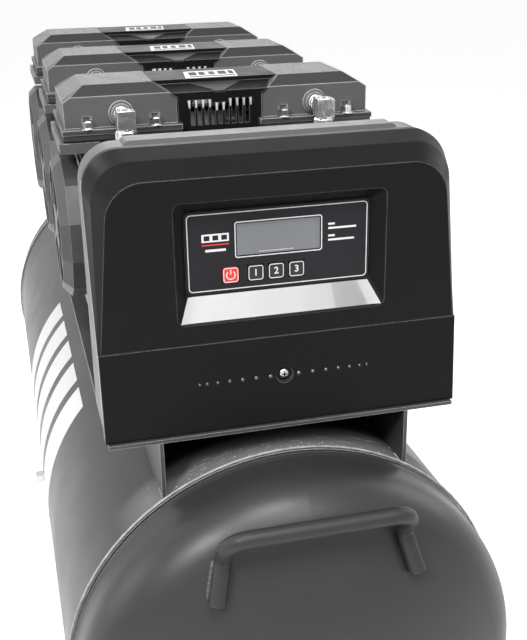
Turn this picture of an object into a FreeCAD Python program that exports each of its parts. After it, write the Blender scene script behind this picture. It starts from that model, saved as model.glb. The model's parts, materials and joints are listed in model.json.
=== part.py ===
"""Three-pump oil-free air compressor on a 100 litre horizontal receiver.

Frame: origin on the floor under the middle of the machine, +Z up, +Y along the receiver
from the control box to the wheels, +X to the right as seen from the control box.
All sizes are millimetres.
"""
import FreeCAD, Part
import math
import os

V = FreeCAD.Vector
X_AXIS, Y_AXIS, Z_AXIS = V(1, 0, 0), V(0, 1, 0), V(0, 0, 1)
ORIGIN = V(0, 0, 0)

# ---- clearances -----------------------------------------------------------------------
RUN_FIT = 0.05            # radial, shaft in bore
MOVE_GAP = 0.4            # between pieces that move past each other
SEAM_GAP = 0.4            # between moulded covers
SEAT = 0.1                # radial, fixed fitting in its hole

# ---- receiver -------------------------------------------------------------------------
TANK_R = 180.0
TANK_WALL = 3.0
SHELL_LENGTH = 880.0
GROUND_GAP = 85.0          # shell above the floor
HEAD_STEP = 1.6           # head stands this much below the shell's surface
WELD_WIDTH = 7.0
HEAD_SKIRT = 26.0         # straight skirt outside the shell, weld included
CROWN_R = 320.0
KNUCKLE_R = 45.0

# ---- front handle ---------------------------------------------------------------------
HANDLE_R = 6.3
HANDLE_WIDTH = 135.0      # between tube centres at the bar
HANDLE_LEAN = 18.0        # bar in front of the kinks
HANDLE_TOP = 13.0         # bar centre below the top of the shell
HANDLE_BEND = 15.0
KINK_HALF = 68.0          # kinks where the legs meet the dish, from the middle
KINK_TOP = 38.0           # below the top of the shell
KINK_BEND = 8.0
LEG_HALF = 75.5           # leg ends from the middle
LEG_TOP = 68.0            # leg ends below the top of the shell

# ---- platform -------------------------------------------------------------------------
PLATFORM_LIFT = 23.0      # top face above the shell
PLATFORM_T = 3.0
PLATFORM_FRONT = 2.0      # behind the front seam
PLATFORM_LENGTH = 752.0
RAIL_OUT = 98.0           # outer face of each rail from the middle
RAIL_T = 3.0

# ---- pumps ----------------------------------------------------------------------------
PUMP_COUNT = 3
PUMP_PITCH = 195.0
FIRST_FACE = 211.0        # front face of the first pump's heads, behind the front seam
HEAD_LONG = 90.0          # head length along Y
HEAD_IN = 37.5            # inner and outer sides of a head from the middle plane
HEAD_OUT = 134.0
HEAD_WALL_H = 22.0        # upright side of a head above its flange
HEAD_TOP_H = 34.0         # ribbed top above the flange
HEAD_CHAMFER = 18.5       # width of the sloped top corners
NOSE_H = 26.0             # height of the upright front face
NOSE_LONG = 13.0          # length of the sloped band above it
GROOVE_COUNT = 9
GROOVE_DEPTH = 1.3
GROOVE_SHARE = 0.45       # groove width as a share of its pitch
FLANGE_T = 4.5
FLANGE_SIDE = 3.0
FLANGE_END = 8.0
PLATE_T = 4.6
GASKET_T = 1.5
PLATE_IN = 1.0            # plate and gasket set back from the flange's edge
GASKET_IN = 4.0
MOUNT_H = 18.0
MOUNT_R = 14.0
MOUNT_X = 92.0
MOUNT_Y = 56.0
SHAFT_RISE = 79.0         # shaft above the pump's feet
DECK_RISE = 45.0          # crankcase deck above the shaft
BARREL_H = 39.5           # cylinder, deck to gasket
BARREL_FLANGE = 9.0
BARREL_HALF = 32.0
EAR_OUT = 6.0             # flange beyond the head's outer side
FIN_COUNT = 2
FIN_T = 2.4
FIN_HALF = 43.0           # half length of the fins along Y
NOTCH_HALF = 20.0         # gap between the flange's ears
NOTCH_DEPTH = 9.0
CASE_IN = 50.0            # crankcase faces from the middle plane
CASE_OUT = 124.0
CASE_R = 60.0
CASE_NECK = 40.0          # half width under the deck
FOOT_T = 8.0
FOOT_HALF = 66.0
KEEL_HALF = 52.0
MOTOR_R = 60.0
MOTOR_BORE = 41.0
MOTOR_FINS = 12
MOTOR_FIN_T = 3.0
MOTOR_FIN_H = 6.0
ROTOR_GAP = 1.0
ROTOR_HALF = 42.0
SHAFT_R = 9.0
FAN_ROOM = 6.0            # fan inside the cover, at each end
FAN_R = 54.0
FAN_HUB_R = 20.0
FAN_BLADES = 6
BLADE_T = 2.2
BLADE_ROOT = 9.0          # half widths of a blade
BLADE_TIP = 13.0
BLADE_PITCH = 28.0
COVER_R = 66.0
COVER_T = 2.5
COVER_OUT = 146.0
COVER_SIDES = 12
COVER_BEVEL = 8.0
SPOKES = 6
SPOKE_W = 5.0
GRILLE_RIM = 3.0          # round the cover's openings
BACK_EYE_R = 45.0

# ---- screws and fittings on the pumps -------------------------------------------------
SCREW_R = 4.6
SCREW_H = 5.5
SCREW_X = (57.0, 115.0)
SCREW_SET = 4.0           # screw centre in front of the head's face
POCKET_R = 6.2
POCKET_H = 9.5
BOSS_R = 10.5
BOSS_OUT = 4.0
BOSS_STEP = 2.2           # narrower end of the boss, out and in
BOSS_RISE = 11.0          # above the flange
STEM_R = 5.5              # elbow's stem inside the boss
STEM_L = 12.0
ELBOW_R = 7.5
ELBOW_REACH = 24.0        # vertical leg in front of the boss
ELBOW_DROP = 9.0
ELBOW_EDGE = 3.0          # chamfer of the forged body
NECK_IN = 1.0             # round necks inside its faces
NUT_R = 9.6
NUT_H = 12.0
HOSE_R = 5.5
HOSE_BEND = 30.0
BLOCK = (40.0, 22.0, 24.0)
BLOCK_RISE = 8.0
NIPPLE_IN = 1.0           # nipples set into the blocks

# ---- motor cover ----------------------------------------------------------------------
LID_GAP = 0.5             # lid to head
LID_SKIRT = 30.5          # lid below the heads' corner
LID_T = 3.0
SLOT_COUNT = 9
SLOT_PITCH = 6.03
SLOT_W = 3.6
SLOT_H = 21.7
SLOT_SHORT = 3.0
SHORT_SLOTS = 3
LID_END = 2.0             # lid beyond the heads at each end
LID_NOSE_H = 25.5         # upright end faces above the heads' flange
LID_SLOPE = 19.0          # length of the sloped shield above them
LID_STEP = 3.7            # from the shield up to the flat top
LID_SLOT_TOP = 7.0

# ---- control box ----------------------------------------------------------------------
BOX_HALF = 137.0
BOX_WALL = 3.0
BOX_LIFT = 0.3            # box above the platform
BOX_PROUD = 2.0           # box wider than the platform, on each side
LOWER_H = 69.2            # seam between the covers, above the box's bottom
BOX_H = 208.7
BOX_CORNER = 28.0
BOX_FRONT_LOW = 5.0       # front faces behind the front seam
BOX_FACE = 10.0
BOX_RIM_TOP = 46.0
RIM_T = 6.0
RIM_STEP = 2.0            # rim set back from the face at the split line
BEVEL_BULGE = 0.35        # how soon the bevel closes in, half would be flat
FACE_DROP = 16.5          # raised face below the top, and inside the sides
FACE_IN_TOP = 14.0
FACE_IN_LOW = 2.0
FACE_CORNER = 28.0
BOX_BACK = 79.0
REAR_SET = 1.0            # rear housing inside the covers
HUMP_HALF = 105.0
HUMP_H = 1.8
HUMP_BACK = 8.0
HUMP_CORNER = 6.0
SCREEN_W = 139.0
SCREEN_H = 62.4
SCREEN_UP = 134.3         # middle of the display above the box's bottom
SCREEN_DEEP = 12.0
SCREEN_T = 1.2
SCREEN_R = 4.0
LEDGE_LOW = 19.0          # slopes round the display
LEDGE_SIDE = 9.2
LEDGE_TOP = 9.4
MOUTH_R = 6.0
LCD_T = 0.8
LCD = (0.0, 8.0, 62.5, 24.0)      # centre right, centre up, width, height on the display
KEY = 11.7
KEY_R = 2.5
KEY_T = 3.0
KEY_PROUD = 0.8
KEY_DROP = 17.9
POWER_X = -36.5
KEY_X = -17.75
KEY_PITCH = 15.45
DOT_SIDE = 7
DOT_R = 1.4
DOT_R_LAST = 0.8
DOT_DEPTH = 1.8
DOT_FIRST = 11.0
DOT_LAST = 65.0
DOT_RISE = 38.0
DOT_EASE = 1.25
WELL_DEPTH = 2.5
PAN_R = 4.2
PAN_H = 2.4
SCREW_SHANK = 3.0
SCREW_WELL_R = 6.5
BOARD_HALF = 90.0
BOARD_T = 1.8
BOARD_OFF = 6.0
BOARD_LOW = 20.0          # board edges above the box's bottom
BOARD_HIGH = 128.0
POST = 8.0
RELAY = (28.0, 22.0, 18.0)
RELAY_PITCH = 45.0
CAPACITOR_R = 15.0
CAPACITOR_L = 28.0

# ---- undercarriage --------------------------------------------------------------------
WHEEL_R = 62.5
WHEEL_W = 36.0
TYRE_GAP = 4.9            # tyres beside the shell
TYRE_T = 15.0
TREAD_DROP = 7.0
BAND_IN = 3.0             # band short of the hub's outer end
BAND_T = 4.0
WEB_T = 4.0
HUB_R = 17.0
AXLE_R = 8.0
COLLAR_R = 13.0
CAP_L = 7.0
AXLE_Y = 745.0            # behind the front seam
FRAME_T = 4.0
FRAME_SET = 18.0          # plates inside the wheels
FRAME_HALF = 55.0
FRAME_EYE = 20.0          # half width of the plates' lower ends
EYE_WALL = 14.0           # below the axle
TIE_HALF = 33.0
TIE_DROP = 12.0
FOOT_Y = 105.0
FOOT_X = 115.0
PAD_R = 20.0
PAD_TOP_R = 17.0
PAD_H = 26.0
STUD_R = 4.0
STUD_END = 6.0
STAND_DEPTH = 44.0
STAND_LIP = 20.0

# ---- receiver fittings ----------------------------------------------------------------
PLUG_Y = 332.0
PLUG_ANGLE = 0.0
PLUG_R = 5.0
PLUG_LIP = 1.5
PLUG_OUT = 8.0
OUTLET_Y = 815.0
OUTLET_BLOCK = (70.0, 30.0, 30.0)
OUTLET_RISE = 14.0
NIPPLE_R = 10.0
VALVE_NECK = 10.0
VALVE_R = 14.0
VALVE_L = 35.0
NOSE_R = 7.0
NOSE_BORE = 4.0
NOSE_L = 30.0
TOWER_R = 6.0
TOWER_H = 3.0
LEVER_L = 78.0
LEVER_W = 12.0
LEVER_T = 2.6
LEVER_NUT = 4.0
CRANK_START = 16.0
CRANK_END = 28.0
CRANK_RISE = 8.0
SAFETY_R = 8.5
SAFETY_LIP = 2.5
SAFETY_HEX = 9.0
SAFETY_H = 34.0
RING_R = 12.0
RING_W = 3.0
PIN_R = 1.5
PIN_DEPTH = 10.0
PIN_OUT = 4.0
DRAIN_Y = 440.0
DRAIN_R = 8.0
DRAIN_LIP = 3.0
DRAIN_H = 16.0
KNOB_R = 11.0
KNOB_H = 9.0
STEM_KNOB_R = 3.5
STEM_KNOB_L = 7.0

# ---- places that follow ---------------------------------------------------------------
AXIS_HEIGHT = TANK_R + GROUND_GAP
PLATFORM_RISE = TANK_R + PLATFORM_LIFT
PLATFORM_WIDTH = 2 * (BOX_HALF - BOX_PROUD)
HEAD_DEPTH = CROWN_R - math.sqrt((CROWN_R - KNUCKLE_R) ** 2 - (TANK_R - HEAD_STEP - KNUCKLE_R) ** 2)
FRONT_Y = -SHELL_LENGTH / 2
BOX_BOTTOM = PLATFORM_RISE + BOX_LIFT
BOX_SPLIT = BOX_BOTTOM + LOWER_H
BOX_TOP = BOX_BOTTOM + BOX_H
SCREEN_MID = BOX_BOTTOM + SCREEN_UP
SCREEN_Y = BOX_FACE + SCREEN_DEEP
FAN_IN = CASE_OUT + FAN_ROOM
FAN_OUT = COVER_OUT - FAN_ROOM
EYE_R = COVER_R - COVER_BEVEL - GRILLE_RIM
WHEEL_IN = math.sqrt(TANK_R ** 2 - (AXIS_HEIGHT - 2 * WHEEL_R) ** 2) + TYRE_GAP
FRAME_X = WHEEL_IN - FRAME_SET
BLOCK_BACK = HEAD_LONG / 2 + ELBOW_REACH + BOSS_OUT      # elbows and blocks in front of a pump's middle
HEAD_RAKE = (HEAD_TOP_H - HEAD_WALL_H) / HEAD_CHAMFER
PLATFORM_Z = AXIS_HEIGHT + PLATFORM_RISE
PUMP_Z = PLATFORM_Z + MOUNT_H
SHAFT_Z = PUMP_Z + SHAFT_RISE
DECK_Z = SHAFT_Z + DECK_RISE
GASKET_Z = DECK_Z + BARREL_H
PLATE_Z = GASKET_Z + GASKET_T
FLANGE_Z = PLATE_Z + PLATE_T
HEAD_Z = FLANGE_Z + FLANGE_T
HEAD_MID = (HEAD_IN + HEAD_OUT) / 2
PUMP_Y = [FRONT_Y + FIRST_FACE + HEAD_LONG / 2 + i * PUMP_PITCH for i in range(PUMP_COUNT)]


# ---- helpers --------------------------------------------------------------------------
def block(x, y, z):
    """Box between the low and high value of each axis."""
    return Part.makeBox(x[1] - x[0], y[1] - y[0], z[1] - z[0], V(x[0], y[0], z[0]))


def rod(start, axis, radius, length):
    return Part.makeCylinder(radius, length, start, axis)


def polygon(points):
    return Part.makePolygon(points + [points[0]])


def around(x, half_x, y, half_y):
    """Low and high values of a rectangle about a middle."""
    return (x - half_x, x + half_x), (y - half_y, y + half_y)


def prism(points, along):
    return Part.Face(polygon(points)).extrude(along)


def turned(points, centre, axis):
    """Solid of revolution of a closed outline."""
    return Part.Face(polygon(points)).revolve(centre, axis, 360)


def hexagon(centre, radius, height):
    """Upright hexagonal prism, radius to the corners."""
    ring = [centre + V(radius * math.cos(math.radians(60 * i)),
                       radius * math.sin(math.radians(60 * i)), 0) for i in range(6)]
    return prism(ring, V(0, 0, height))


def mirrored(shape):
    return shape.mirror(ORIGIN, X_AXIS)


def both_sides(shape):
    return Part.makeCompound([shape, mirrored(shape)])


def joined(shapes):
    return shapes[0].multiFuse(shapes[1:]).removeSplitter()


def cut_all(shape, tools):
    return shape.cut(Part.makeCompound(tools))


def bent_rod(points, bends, radius):
    """Round bar: straight runs joined by a turn at each inner point."""
    pieces, start = [], points[0]
    for before, corner, after, bend in zip(points, points[1:], points[2:], bends):
        along = (corner - before).normalize()
        ahead = (after - corner).normalize()
        turn = along.getAngle(ahead)
        reach = bend * math.tan(turn / 2)
        enter, leave = corner - along * reach, corner + ahead * reach
        inward = (ahead - along).normalize()
        centre = corner + inward * (bend / math.cos(turn / 2))
        section = Part.Face(Part.Wire(Part.makeCircle(radius, enter, along)))
        pieces.append(rod(start, along, radius, start.distanceToPoint(enter)))
        pieces.append(section.revolve(centre, along.cross(ahead), math.degrees(turn)))
        start = leave
    last = points[-1]
    pieces.append(rod(start, (last - start).normalize(), radius, start.distanceToPoint(last)))
    return joined(pieces)


def rounded_outline(half_low, half_top, low, top, corner):
    """Upright outline in the XZ plane at y = 0: flat bottom, round top corners.
    Returned as corner marks and arc points, to be placed on any lean."""
    side = V(half_top - half_low, 0, top - low).normalize()
    turn = math.pi / 2 + math.atan2(side.x, side.z)
    reach = corner * math.tan(turn / 2) if turn < math.pi else corner
    shoulder = V(half_top, 0, top)
    enter = shoulder - side * reach
    leave = shoulder - V(reach, 0, 0)
    bisector = ((enter - shoulder).normalize() + (leave - shoulder).normalize()).normalize()
    gap = corner / math.cos(turn / 2) - corner
    crown = shoulder + bisector * gap
    return V(half_low, 0, low), enter, crown, leave


def outline_wire(marks, depth_at):
    """Closed symmetric wire from the marks of one side, each point at its own depth."""
    def put(p, sign=1):
        return V(sign * p.x, depth_at(p.z), p.z)
    low, enter, crown, leave = marks
    right = [Part.LineSegment(put(low), put(enter)).toShape(),
             Part.Arc(put(enter), put(crown), put(leave)).toShape()]
    top = Part.LineSegment(put(leave), put(leave, -1)).toShape()
    left = [Part.Arc(put(leave, -1), put(crown, -1), put(enter, -1)).toShape(),
            Part.LineSegment(put(enter, -1), put(low, -1)).toShape()]
    bottom = Part.LineSegment(put(low, -1), put(low)).toShape()
    return Part.Wire(right + [top] + left + [bottom])


# ---- receiver -------------------------------------------------------------------------
def radial(angle):
    a = math.radians(angle)
    return V(math.cos(a), 0, math.sin(a))


def tank_core(radius=TANK_R):
    return rod(V(0, FRONT_Y - HEAD_DEPTH, AXIS_HEIGHT), Y_AXIS, radius,
               SHELL_LENGTH + 2 * HEAD_DEPTH)


def tank_shell():
    start = V(0, FRONT_Y, AXIS_HEIGHT)
    shell = rod(start, Y_AXIS, TANK_R, SHELL_LENGTH)
    shell = shell.cut(rod(start, Y_AXIS, TANK_R - TANK_WALL, SHELL_LENGTH))
    holes = [rod(V(0, FRONT_Y + OUTLET_Y, AXIS_HEIGHT), Z_AXIS, NIPPLE_R + SEAT, TANK_R * 2),
             rod(V(0, FRONT_Y + DRAIN_Y, AXIS_HEIGHT), -Z_AXIS, DRAIN_R + SEAT, TANK_R * 2)]
    for y in PUMP_Y:
        holes.append(rod(V(0, y - BLOCK_BACK, AXIS_HEIGHT), Z_AXIS, HOSE_R + SEAT, TANK_R * 2))
    for angle in (PLUG_ANGLE, 180 - PLUG_ANGLE):
        holes.append(rod(V(0, FRONT_Y + PLUG_Y, AXIS_HEIGHT), radial(angle), PLUG_R + SEAT,
                         TANK_R * 2))
    return cut_all(shell, holes)


def dome_edges(skin):
    """Knuckle and crown arcs in the YZ plane, from the skirt at y = 0 to the pole at -y.

    skin is how far the line lies inside the outer surface."""
    knuckle, crown = KNUCKLE_R - skin, CROWN_R - skin
    rim = TANK_R - HEAD_STEP - skin
    hub_z = rim - knuckle
    hub_y = math.sqrt((CROWN_R - KNUCKLE_R) ** 2 - hub_z ** 2)
    meet = math.atan2(hub_y, hub_z)
    mid_turn, mid_crown = meet / 2, (meet + math.pi / 2) / 2

    def on_knuckle(a):
        return V(0, -knuckle * math.sin(a), hub_z + knuckle * math.cos(a))

    def on_crown(a):
        return V(0, hub_y - crown * math.sin(a), crown * math.cos(a))

    turn = Part.Arc(V(0, 0, rim), on_knuckle(mid_turn), on_knuckle(meet)).toShape()
    dome = Part.Arc(on_knuckle(meet), on_crown(mid_crown), V(0, hub_y - crown, 0)).toShape()
    return [turn, dome]


def revolved(edges):
    wire = Part.Wire(Part.__sortEdges__(edges))
    return Part.Face(wire).revolve(ORIGIN, Y_AXIS, 360)


def lines(points):
    return [Part.LineSegment(a, b).toShape() for a, b in zip(points, points[1:])]


def dished_head():
    """Front head about the Y axis, its shell seam at y = 0 and its pole at -y."""
    skin_r = TANK_R - HEAD_STEP
    inner_r = skin_r - TANK_WALL
    outer, inner = dome_edges(0), dome_edges(TANK_WALL)
    for edge in outer + inner:
        edge.translate(V(0, -HEAD_SKIRT, 0))
    bead = V(0, -WELD_WIDTH / 2, TANK_R - HEAD_STEP / 4)
    profile = [V(0, -HEAD_SKIRT, skin_r), V(0, -WELD_WIDTH, skin_r), bead, V(0, 0, skin_r),
               V(0, 0, inner_r), V(0, -HEAD_SKIRT, inner_r)]
    pole = [outer[-1].Vertexes[-1].Point, inner[-1].Vertexes[-1].Point]
    return revolved(outer + lines(profile) + inner + lines(pole))


def front_head():
    head = dished_head()
    head.translate(V(0, FRONT_Y, AXIS_HEIGHT))
    return head


def rear_head():
    head = dished_head().mirror(ORIGIN, Y_AXIS)
    head.translate(V(0, -FRONT_Y, AXIS_HEIGHT))
    return head


def head_core():
    """Everything inside the outer skin of the front head's dish."""
    outer = dome_edges(0)
    pole = outer[-1].Vertexes[-1].Point
    core = revolved(outer + lines([pole, ORIGIN, V(0, 0, TANK_R - HEAD_STEP)]))
    core.translate(V(0, FRONT_Y - HEAD_SKIRT, AXIS_HEIGHT))
    return core


def dish_front(radius):
    """Outer skin of the front dish from the shell seam, at a radius from the axis."""
    hub = TANK_R - HEAD_STEP - KNUCKLE_R
    reach = CROWN_R - KNUCKLE_R
    if radius > CROWN_R * hub / reach:
        return -HEAD_SKIRT - math.sqrt(KNUCKLE_R ** 2 - (radius - hub) ** 2)
    return math.sqrt(reach ** 2 - hub ** 2) - HEAD_SKIRT - math.sqrt(CROWN_R ** 2 - radius ** 2)


def front_handle():
    """Bar bent forwards off two splayed legs that are coped onto the dish."""

    def on_dish(x, below):
        """Centre of a tube lying on the dish."""
        rise = TANK_R - below
        return V(x, FRONT_Y + dish_front(math.hypot(x, rise)) - HANDLE_R, AXIS_HEIGHT + rise)

    kink = on_dish(KINK_HALF, KINK_TOP)
    end = on_dish(LEG_HALF, LEG_TOP)
    bar = V(HANDLE_WIDTH / 2, kink.y - HANDLE_LEAN, AXIS_HEIGHT + TANK_R - HANDLE_TOP)
    right = [bar, kink, end]
    left = [V(-p.x, p.y, p.z) for p in reversed(right)]
    bends = [KINK_BEND, HANDLE_BEND, HANDLE_BEND, KINK_BEND]
    return bent_rod(left + right, bends, HANDLE_R).cut(head_core())


# ---- platform -------------------------------------------------------------------------
def platform():
    y0 = FRONT_Y + PLATFORM_FRONT
    half = PLATFORM_WIDTH / 2
    plate = block((-half, half), (y0, y0 + PLATFORM_LENGTH), (PLATFORM_Z - PLATFORM_T, PLATFORM_Z))
    holes = [rod(V(0, y - BLOCK_BACK, PLATFORM_Z - 2 * PLATFORM_T), Z_AXIS, HOSE_R + SEAT,
                 4 * PLATFORM_T) for y in PUMP_Y]
    return cut_all(plate, holes)


def platform_rails():
    """Upright plates from the shell to the underside of the platform."""
    y0 = FRONT_Y + PLATFORM_FRONT
    rail = block((RAIL_OUT - RAIL_T, RAIL_OUT), (y0, y0 + PLATFORM_LENGTH),
                 (AXIS_HEIGHT, PLATFORM_Z - PLATFORM_T))
    return both_sides(rail.cut(tank_core()))


# ---- pumps ----------------------------------------------------------------------------
def mount_places(y):
    return [V(sx * MOUNT_X, y + sy * MOUNT_Y, PLATFORM_Z) for sx in (-1, 1) for sy in (-1, 1)]


def rubber_mounts():
    return Part.makeCompound([rod(p, Z_AXIS, MOUNT_R, MOUNT_H) for y in PUMP_Y for p in mount_places(y)])


def crankcase(y):
    """Casting round the shaft: barrel, neck up to the deck, keel and two feet."""
    span = (CASE_IN, CASE_OUT)
    start = V(CASE_IN, y, SHAFT_Z)
    barrel = rod(start, X_AXIS, CASE_R, CASE_OUT - CASE_IN)
    neck = block(span, (y - CASE_NECK, y + CASE_NECK), (SHAFT_Z, DECK_Z))
    keel = prism([V(CASE_IN, y - KEEL_HALF, PUMP_Z), V(CASE_IN, y + KEEL_HALF, PUMP_Z),
                  V(CASE_IN, y + CASE_NECK, SHAFT_Z), V(CASE_IN, y - CASE_NECK, SHAFT_Z)],
                 V(CASE_OUT - CASE_IN, 0, 0))
    feet = block(span, (y - FOOT_HALF, y + FOOT_HALF), (PUMP_Z, PUMP_Z + FOOT_T))
    above = block(span, (y - CASE_R, y + CASE_R), (DECK_Z, DECK_Z + CASE_R))
    case = joined([barrel, neck, keel, feet]).cut(above)
    return case.cut(rod(start, X_AXIS, SHAFT_R + RUN_FIT, CASE_OUT - CASE_IN))


def finned_cylinder(y):
    """Cast barrel with square fins under an eared flange."""
    barrel = block(*around(HEAD_MID, BARREL_HALF, y, BARREL_HALF), (DECK_Z, GASKET_Z))
    fin_x = HEAD_MID - CASE_IN - MOVE_GAP
    half_y = HEAD_LONG / 2 + FLANGE_END
    pitch = (BARREL_H - BARREL_FLANGE) / (FIN_COUNT + 1)
    fins = [block(*around(HEAD_MID, fin_x, y, FIN_HALF), (DECK_Z + pitch * i, DECK_Z + pitch * i + FIN_T))
            for i in range(1, FIN_COUNT + 1)]
    flange_z = (GASKET_Z - BARREL_FLANGE, GASKET_Z)
    ears = block((HEAD_IN, HEAD_OUT + EAR_OUT), (y - half_y, y + half_y), flange_z)
    notches = [block(*around(HEAD_MID, NOTCH_HALF, y + s * half_y, NOTCH_DEPTH), flange_z)
               for s in (-1, 1)]
    return joined([barrel, cut_all(ears, notches)] + fins)


def motor_housing(y):
    """Tube round the rotor with fins along it, drawn as one toothed outline."""
    points = []
    for i in range(MOTOR_FINS):
        middle = 2 * math.pi * (i + 0.5) / MOTOR_FINS
        for radius, side in ((MOTOR_R, -1), (MOTOR_R + MOTOR_FIN_H, -1),
                             (MOTOR_R + MOTOR_FIN_H, 1), (MOTOR_R, 1)):
            angle = middle + side * MOTOR_FIN_T / 2 / radius
            points.append(V(-CASE_IN, y + radius * math.sin(angle), SHAFT_Z + radius * math.cos(angle)))
    length = 2 * CASE_IN
    return prism(points, V(length, 0, 0)).cut(rod(V(-CASE_IN, y, SHAFT_Z), X_AXIS, MOTOR_BORE, length))


def rotor_shaft(y):
    core = MOTOR_BORE - ROTOR_GAP
    outline = [V(-FAN_OUT, y, SHAFT_Z), V(-FAN_OUT, y, SHAFT_Z + SHAFT_R),
               V(-ROTOR_HALF, y, SHAFT_Z + SHAFT_R), V(-ROTOR_HALF, y, SHAFT_Z + core),
               V(ROTOR_HALF, y, SHAFT_Z + core), V(ROTOR_HALF, y, SHAFT_Z + SHAFT_R),
               V(FAN_OUT, y, SHAFT_Z + SHAFT_R), V(FAN_OUT, y, SHAFT_Z)]
    return turned(outline, V(0, y, SHAFT_Z), X_AXIS)


def fan(y):
    """Axial fan: hub with flat pitched blades that widen outwards."""
    length = FAN_OUT - FAN_IN
    root = FAN_HUB_R - BLADE_T
    outline = [V(0, -BLADE_ROOT, root), V(0, BLADE_ROOT, root),
               V(0, BLADE_TIP, FAN_R), V(0, -BLADE_TIP, FAN_R)]
    parts = [rod(V(-length / 2, 0, 0), X_AXIS, FAN_HUB_R, length)]
    for i in range(FAN_BLADES):
        blade = prism(outline, V(BLADE_T, 0, 0))
        blade.translate(V(-BLADE_T / 2, 0, 0))
        blade.rotate(ORIGIN, Z_AXIS, BLADE_PITCH)
        blade.rotate(ORIGIN, X_AXIS, 360.0 * i / FAN_BLADES)
        parts.append(blade)
    disc = joined(parts).cut(rod(V(-length / 2, 0, 0), X_AXIS, SHAFT_R, length))
    disc.translate(V(FAN_IN + length / 2, y, SHAFT_Z))
    return disc


def cover_ring(x, radius, y):
    """Many-sided outline of the fan cover at one station."""
    step = 2 * math.pi / COVER_SIDES
    return [V(x, y + radius * math.cos(step * (i + 0.5)), SHAFT_Z + radius * math.sin(step * (i + 0.5)))
            for i in range(COVER_SIDES)]


def cup_form(y, inset):
    """Fan cover as a solid, every skin set in by the inset."""
    back, shoulder, front = CASE_OUT + inset, COVER_OUT - COVER_BEVEL, COVER_OUT - inset
    radius = COVER_R - inset
    skirt = prism(cover_ring(back, radius, y), V(shoulder - back, 0, 0))
    nose = Part.makeLoft([polygon(cover_ring(shoulder, radius, y)),
                          polygon(cover_ring(front, radius - COVER_BEVEL, y))], True, True)
    return joined([skirt, nose])


def fan_cover(y):
    """Faceted cup round the fan: spoked front, and a back plate against the crankcase."""
    cup = cup_form(y, 0).cut(cup_form(y, COVER_T))
    grille_x = COVER_OUT - 2 * COVER_T
    deep = V(3 * COVER_T, 0, 0)
    bars = [prism(cover_ring(grille_x, FAN_HUB_R, y), deep)]
    for i in range(SPOKES):
        bar = block((grille_x, grille_x + deep.x), (y - SPOKE_W / 2, y + SPOKE_W / 2),
                    (SHAFT_Z, SHAFT_Z + COVER_R))
        bar.rotate(V(0, y, SHAFT_Z), X_AXIS, 360.0 * i / SPOKES)
        bars.append(bar)
    eye = cut_all(prism(cover_ring(grille_x, EYE_R, y), deep), bars)
    back = prism(cover_ring(CASE_OUT - COVER_T, BACK_EYE_R, y), deep)
    return cut_all(cup, [eye, back])


# ---- cylinder heads -------------------------------------------------------------------
def head_section(inset=0.0):
    """Trapezoid section of a head in the XZ plane, at y = 0."""
    low, wall, top = HEAD_Z, HEAD_Z + HEAD_WALL_H - inset, HEAD_Z + HEAD_TOP_H - inset
    x0, x1 = HEAD_IN + inset, HEAD_OUT - inset
    return [V(x0, 0, low), V(x1, 0, low), V(x1, 0, wall), V(x1 - HEAD_CHAMFER, 0, top),
            V(x0 + HEAD_CHAMFER, 0, top), V(x0, 0, wall)]


def placed(points, y):
    return [p + V(0, y, 0) for p in points]


def rib_tools(y):
    """Grooves across the sloped and flat top, between the smooth nose and tail."""
    room = HEAD_LONG - 2 * NOSE_LONG
    pitch = room / GROOVE_COUNT
    first = y - room / 2 + pitch * (1 - GROOVE_SHARE) / 2
    over = HEAD_TOP_H
    high = HEAD_Z + HEAD_WALL_H + over
    floor = HEAD_Z + HEAD_TOP_H - GROOVE_DEPTH
    edge = HEAD_Z + HEAD_WALL_H - GROOVE_DEPTH - over * HEAD_RAKE
    section = [V(HEAD_IN - over, 0, high), V(HEAD_IN - over, 0, edge),
               V(HEAD_IN + HEAD_CHAMFER, 0, floor), V(HEAD_OUT - HEAD_CHAMFER, 0, floor),
               V(HEAD_OUT + over, 0, edge), V(HEAD_OUT + over, 0, high)]
    return [prism(placed(section, first + pitch * i), V(0, pitch * GROOVE_SHARE, 0))
            for i in range(GROOVE_COUNT)]


def nose_wedges(y):
    """What the sloped bands above the end faces remove."""
    top, shelf = HEAD_Z + HEAD_TOP_H, HEAD_Z + NOSE_H
    over = HEAD_TOP_H
    wedges = []
    for side in (-1, 1):
        face = y + side * HEAD_LONG / 2
        points = [V(0, face, shelf), V(0, face - side * NOSE_LONG, top),
                  V(0, face - side * NOSE_LONG, top + over), V(0, face + side * over, top + over),
                  V(0, face + side * over, shelf)]
        wedges.append(prism(points, V(HEAD_OUT + over, 0, 0)))
    return wedges


def screw_places(y):
    half = HEAD_LONG / 2 + SCREW_SET
    return [V(x, y + s * half, HEAD_Z) for x in SCREW_X for s in (-1, 1)]


def flange(y, z, thick, grow_x, grow_y):
    return block((HEAD_IN - grow_x, HEAD_OUT + grow_x),
                 (y - HEAD_LONG / 2 - grow_y, y + HEAD_LONG / 2 + grow_y), (z, z + thick))


def cylinder_head(y):
    """Cast head: grooved top, sloped nose, flange, screw pockets and the outlet boss in front."""
    face = y - HEAD_LONG / 2
    body = prism(placed(head_section(), face), V(0, HEAD_LONG, 0))
    body = cut_all(body, nose_wedges(y) + rib_tools(y))
    base = flange(y, FLANGE_Z, FLANGE_T, FLANGE_SIDE, FLANGE_END)
    centre = V(HEAD_MID, face - BOSS_OUT, HEAD_Z + BOSS_RISE)
    boss = [rod(centre, Y_AXIS, BOSS_R - BOSS_STEP, BOSS_OUT + STEM_L),
            rod(centre + V(0, BOSS_STEP, 0), Y_AXIS, BOSS_R, STEM_L)]
    head = joined([body, base] + boss)
    pockets = [hexagon(p, POCKET_R, POCKET_H) for p in screw_places(y)]
    bore = rod(centre, Y_AXIS, STEM_R + SEAT, STEM_L)
    return cut_all(head, pockets + [bore])


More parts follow.
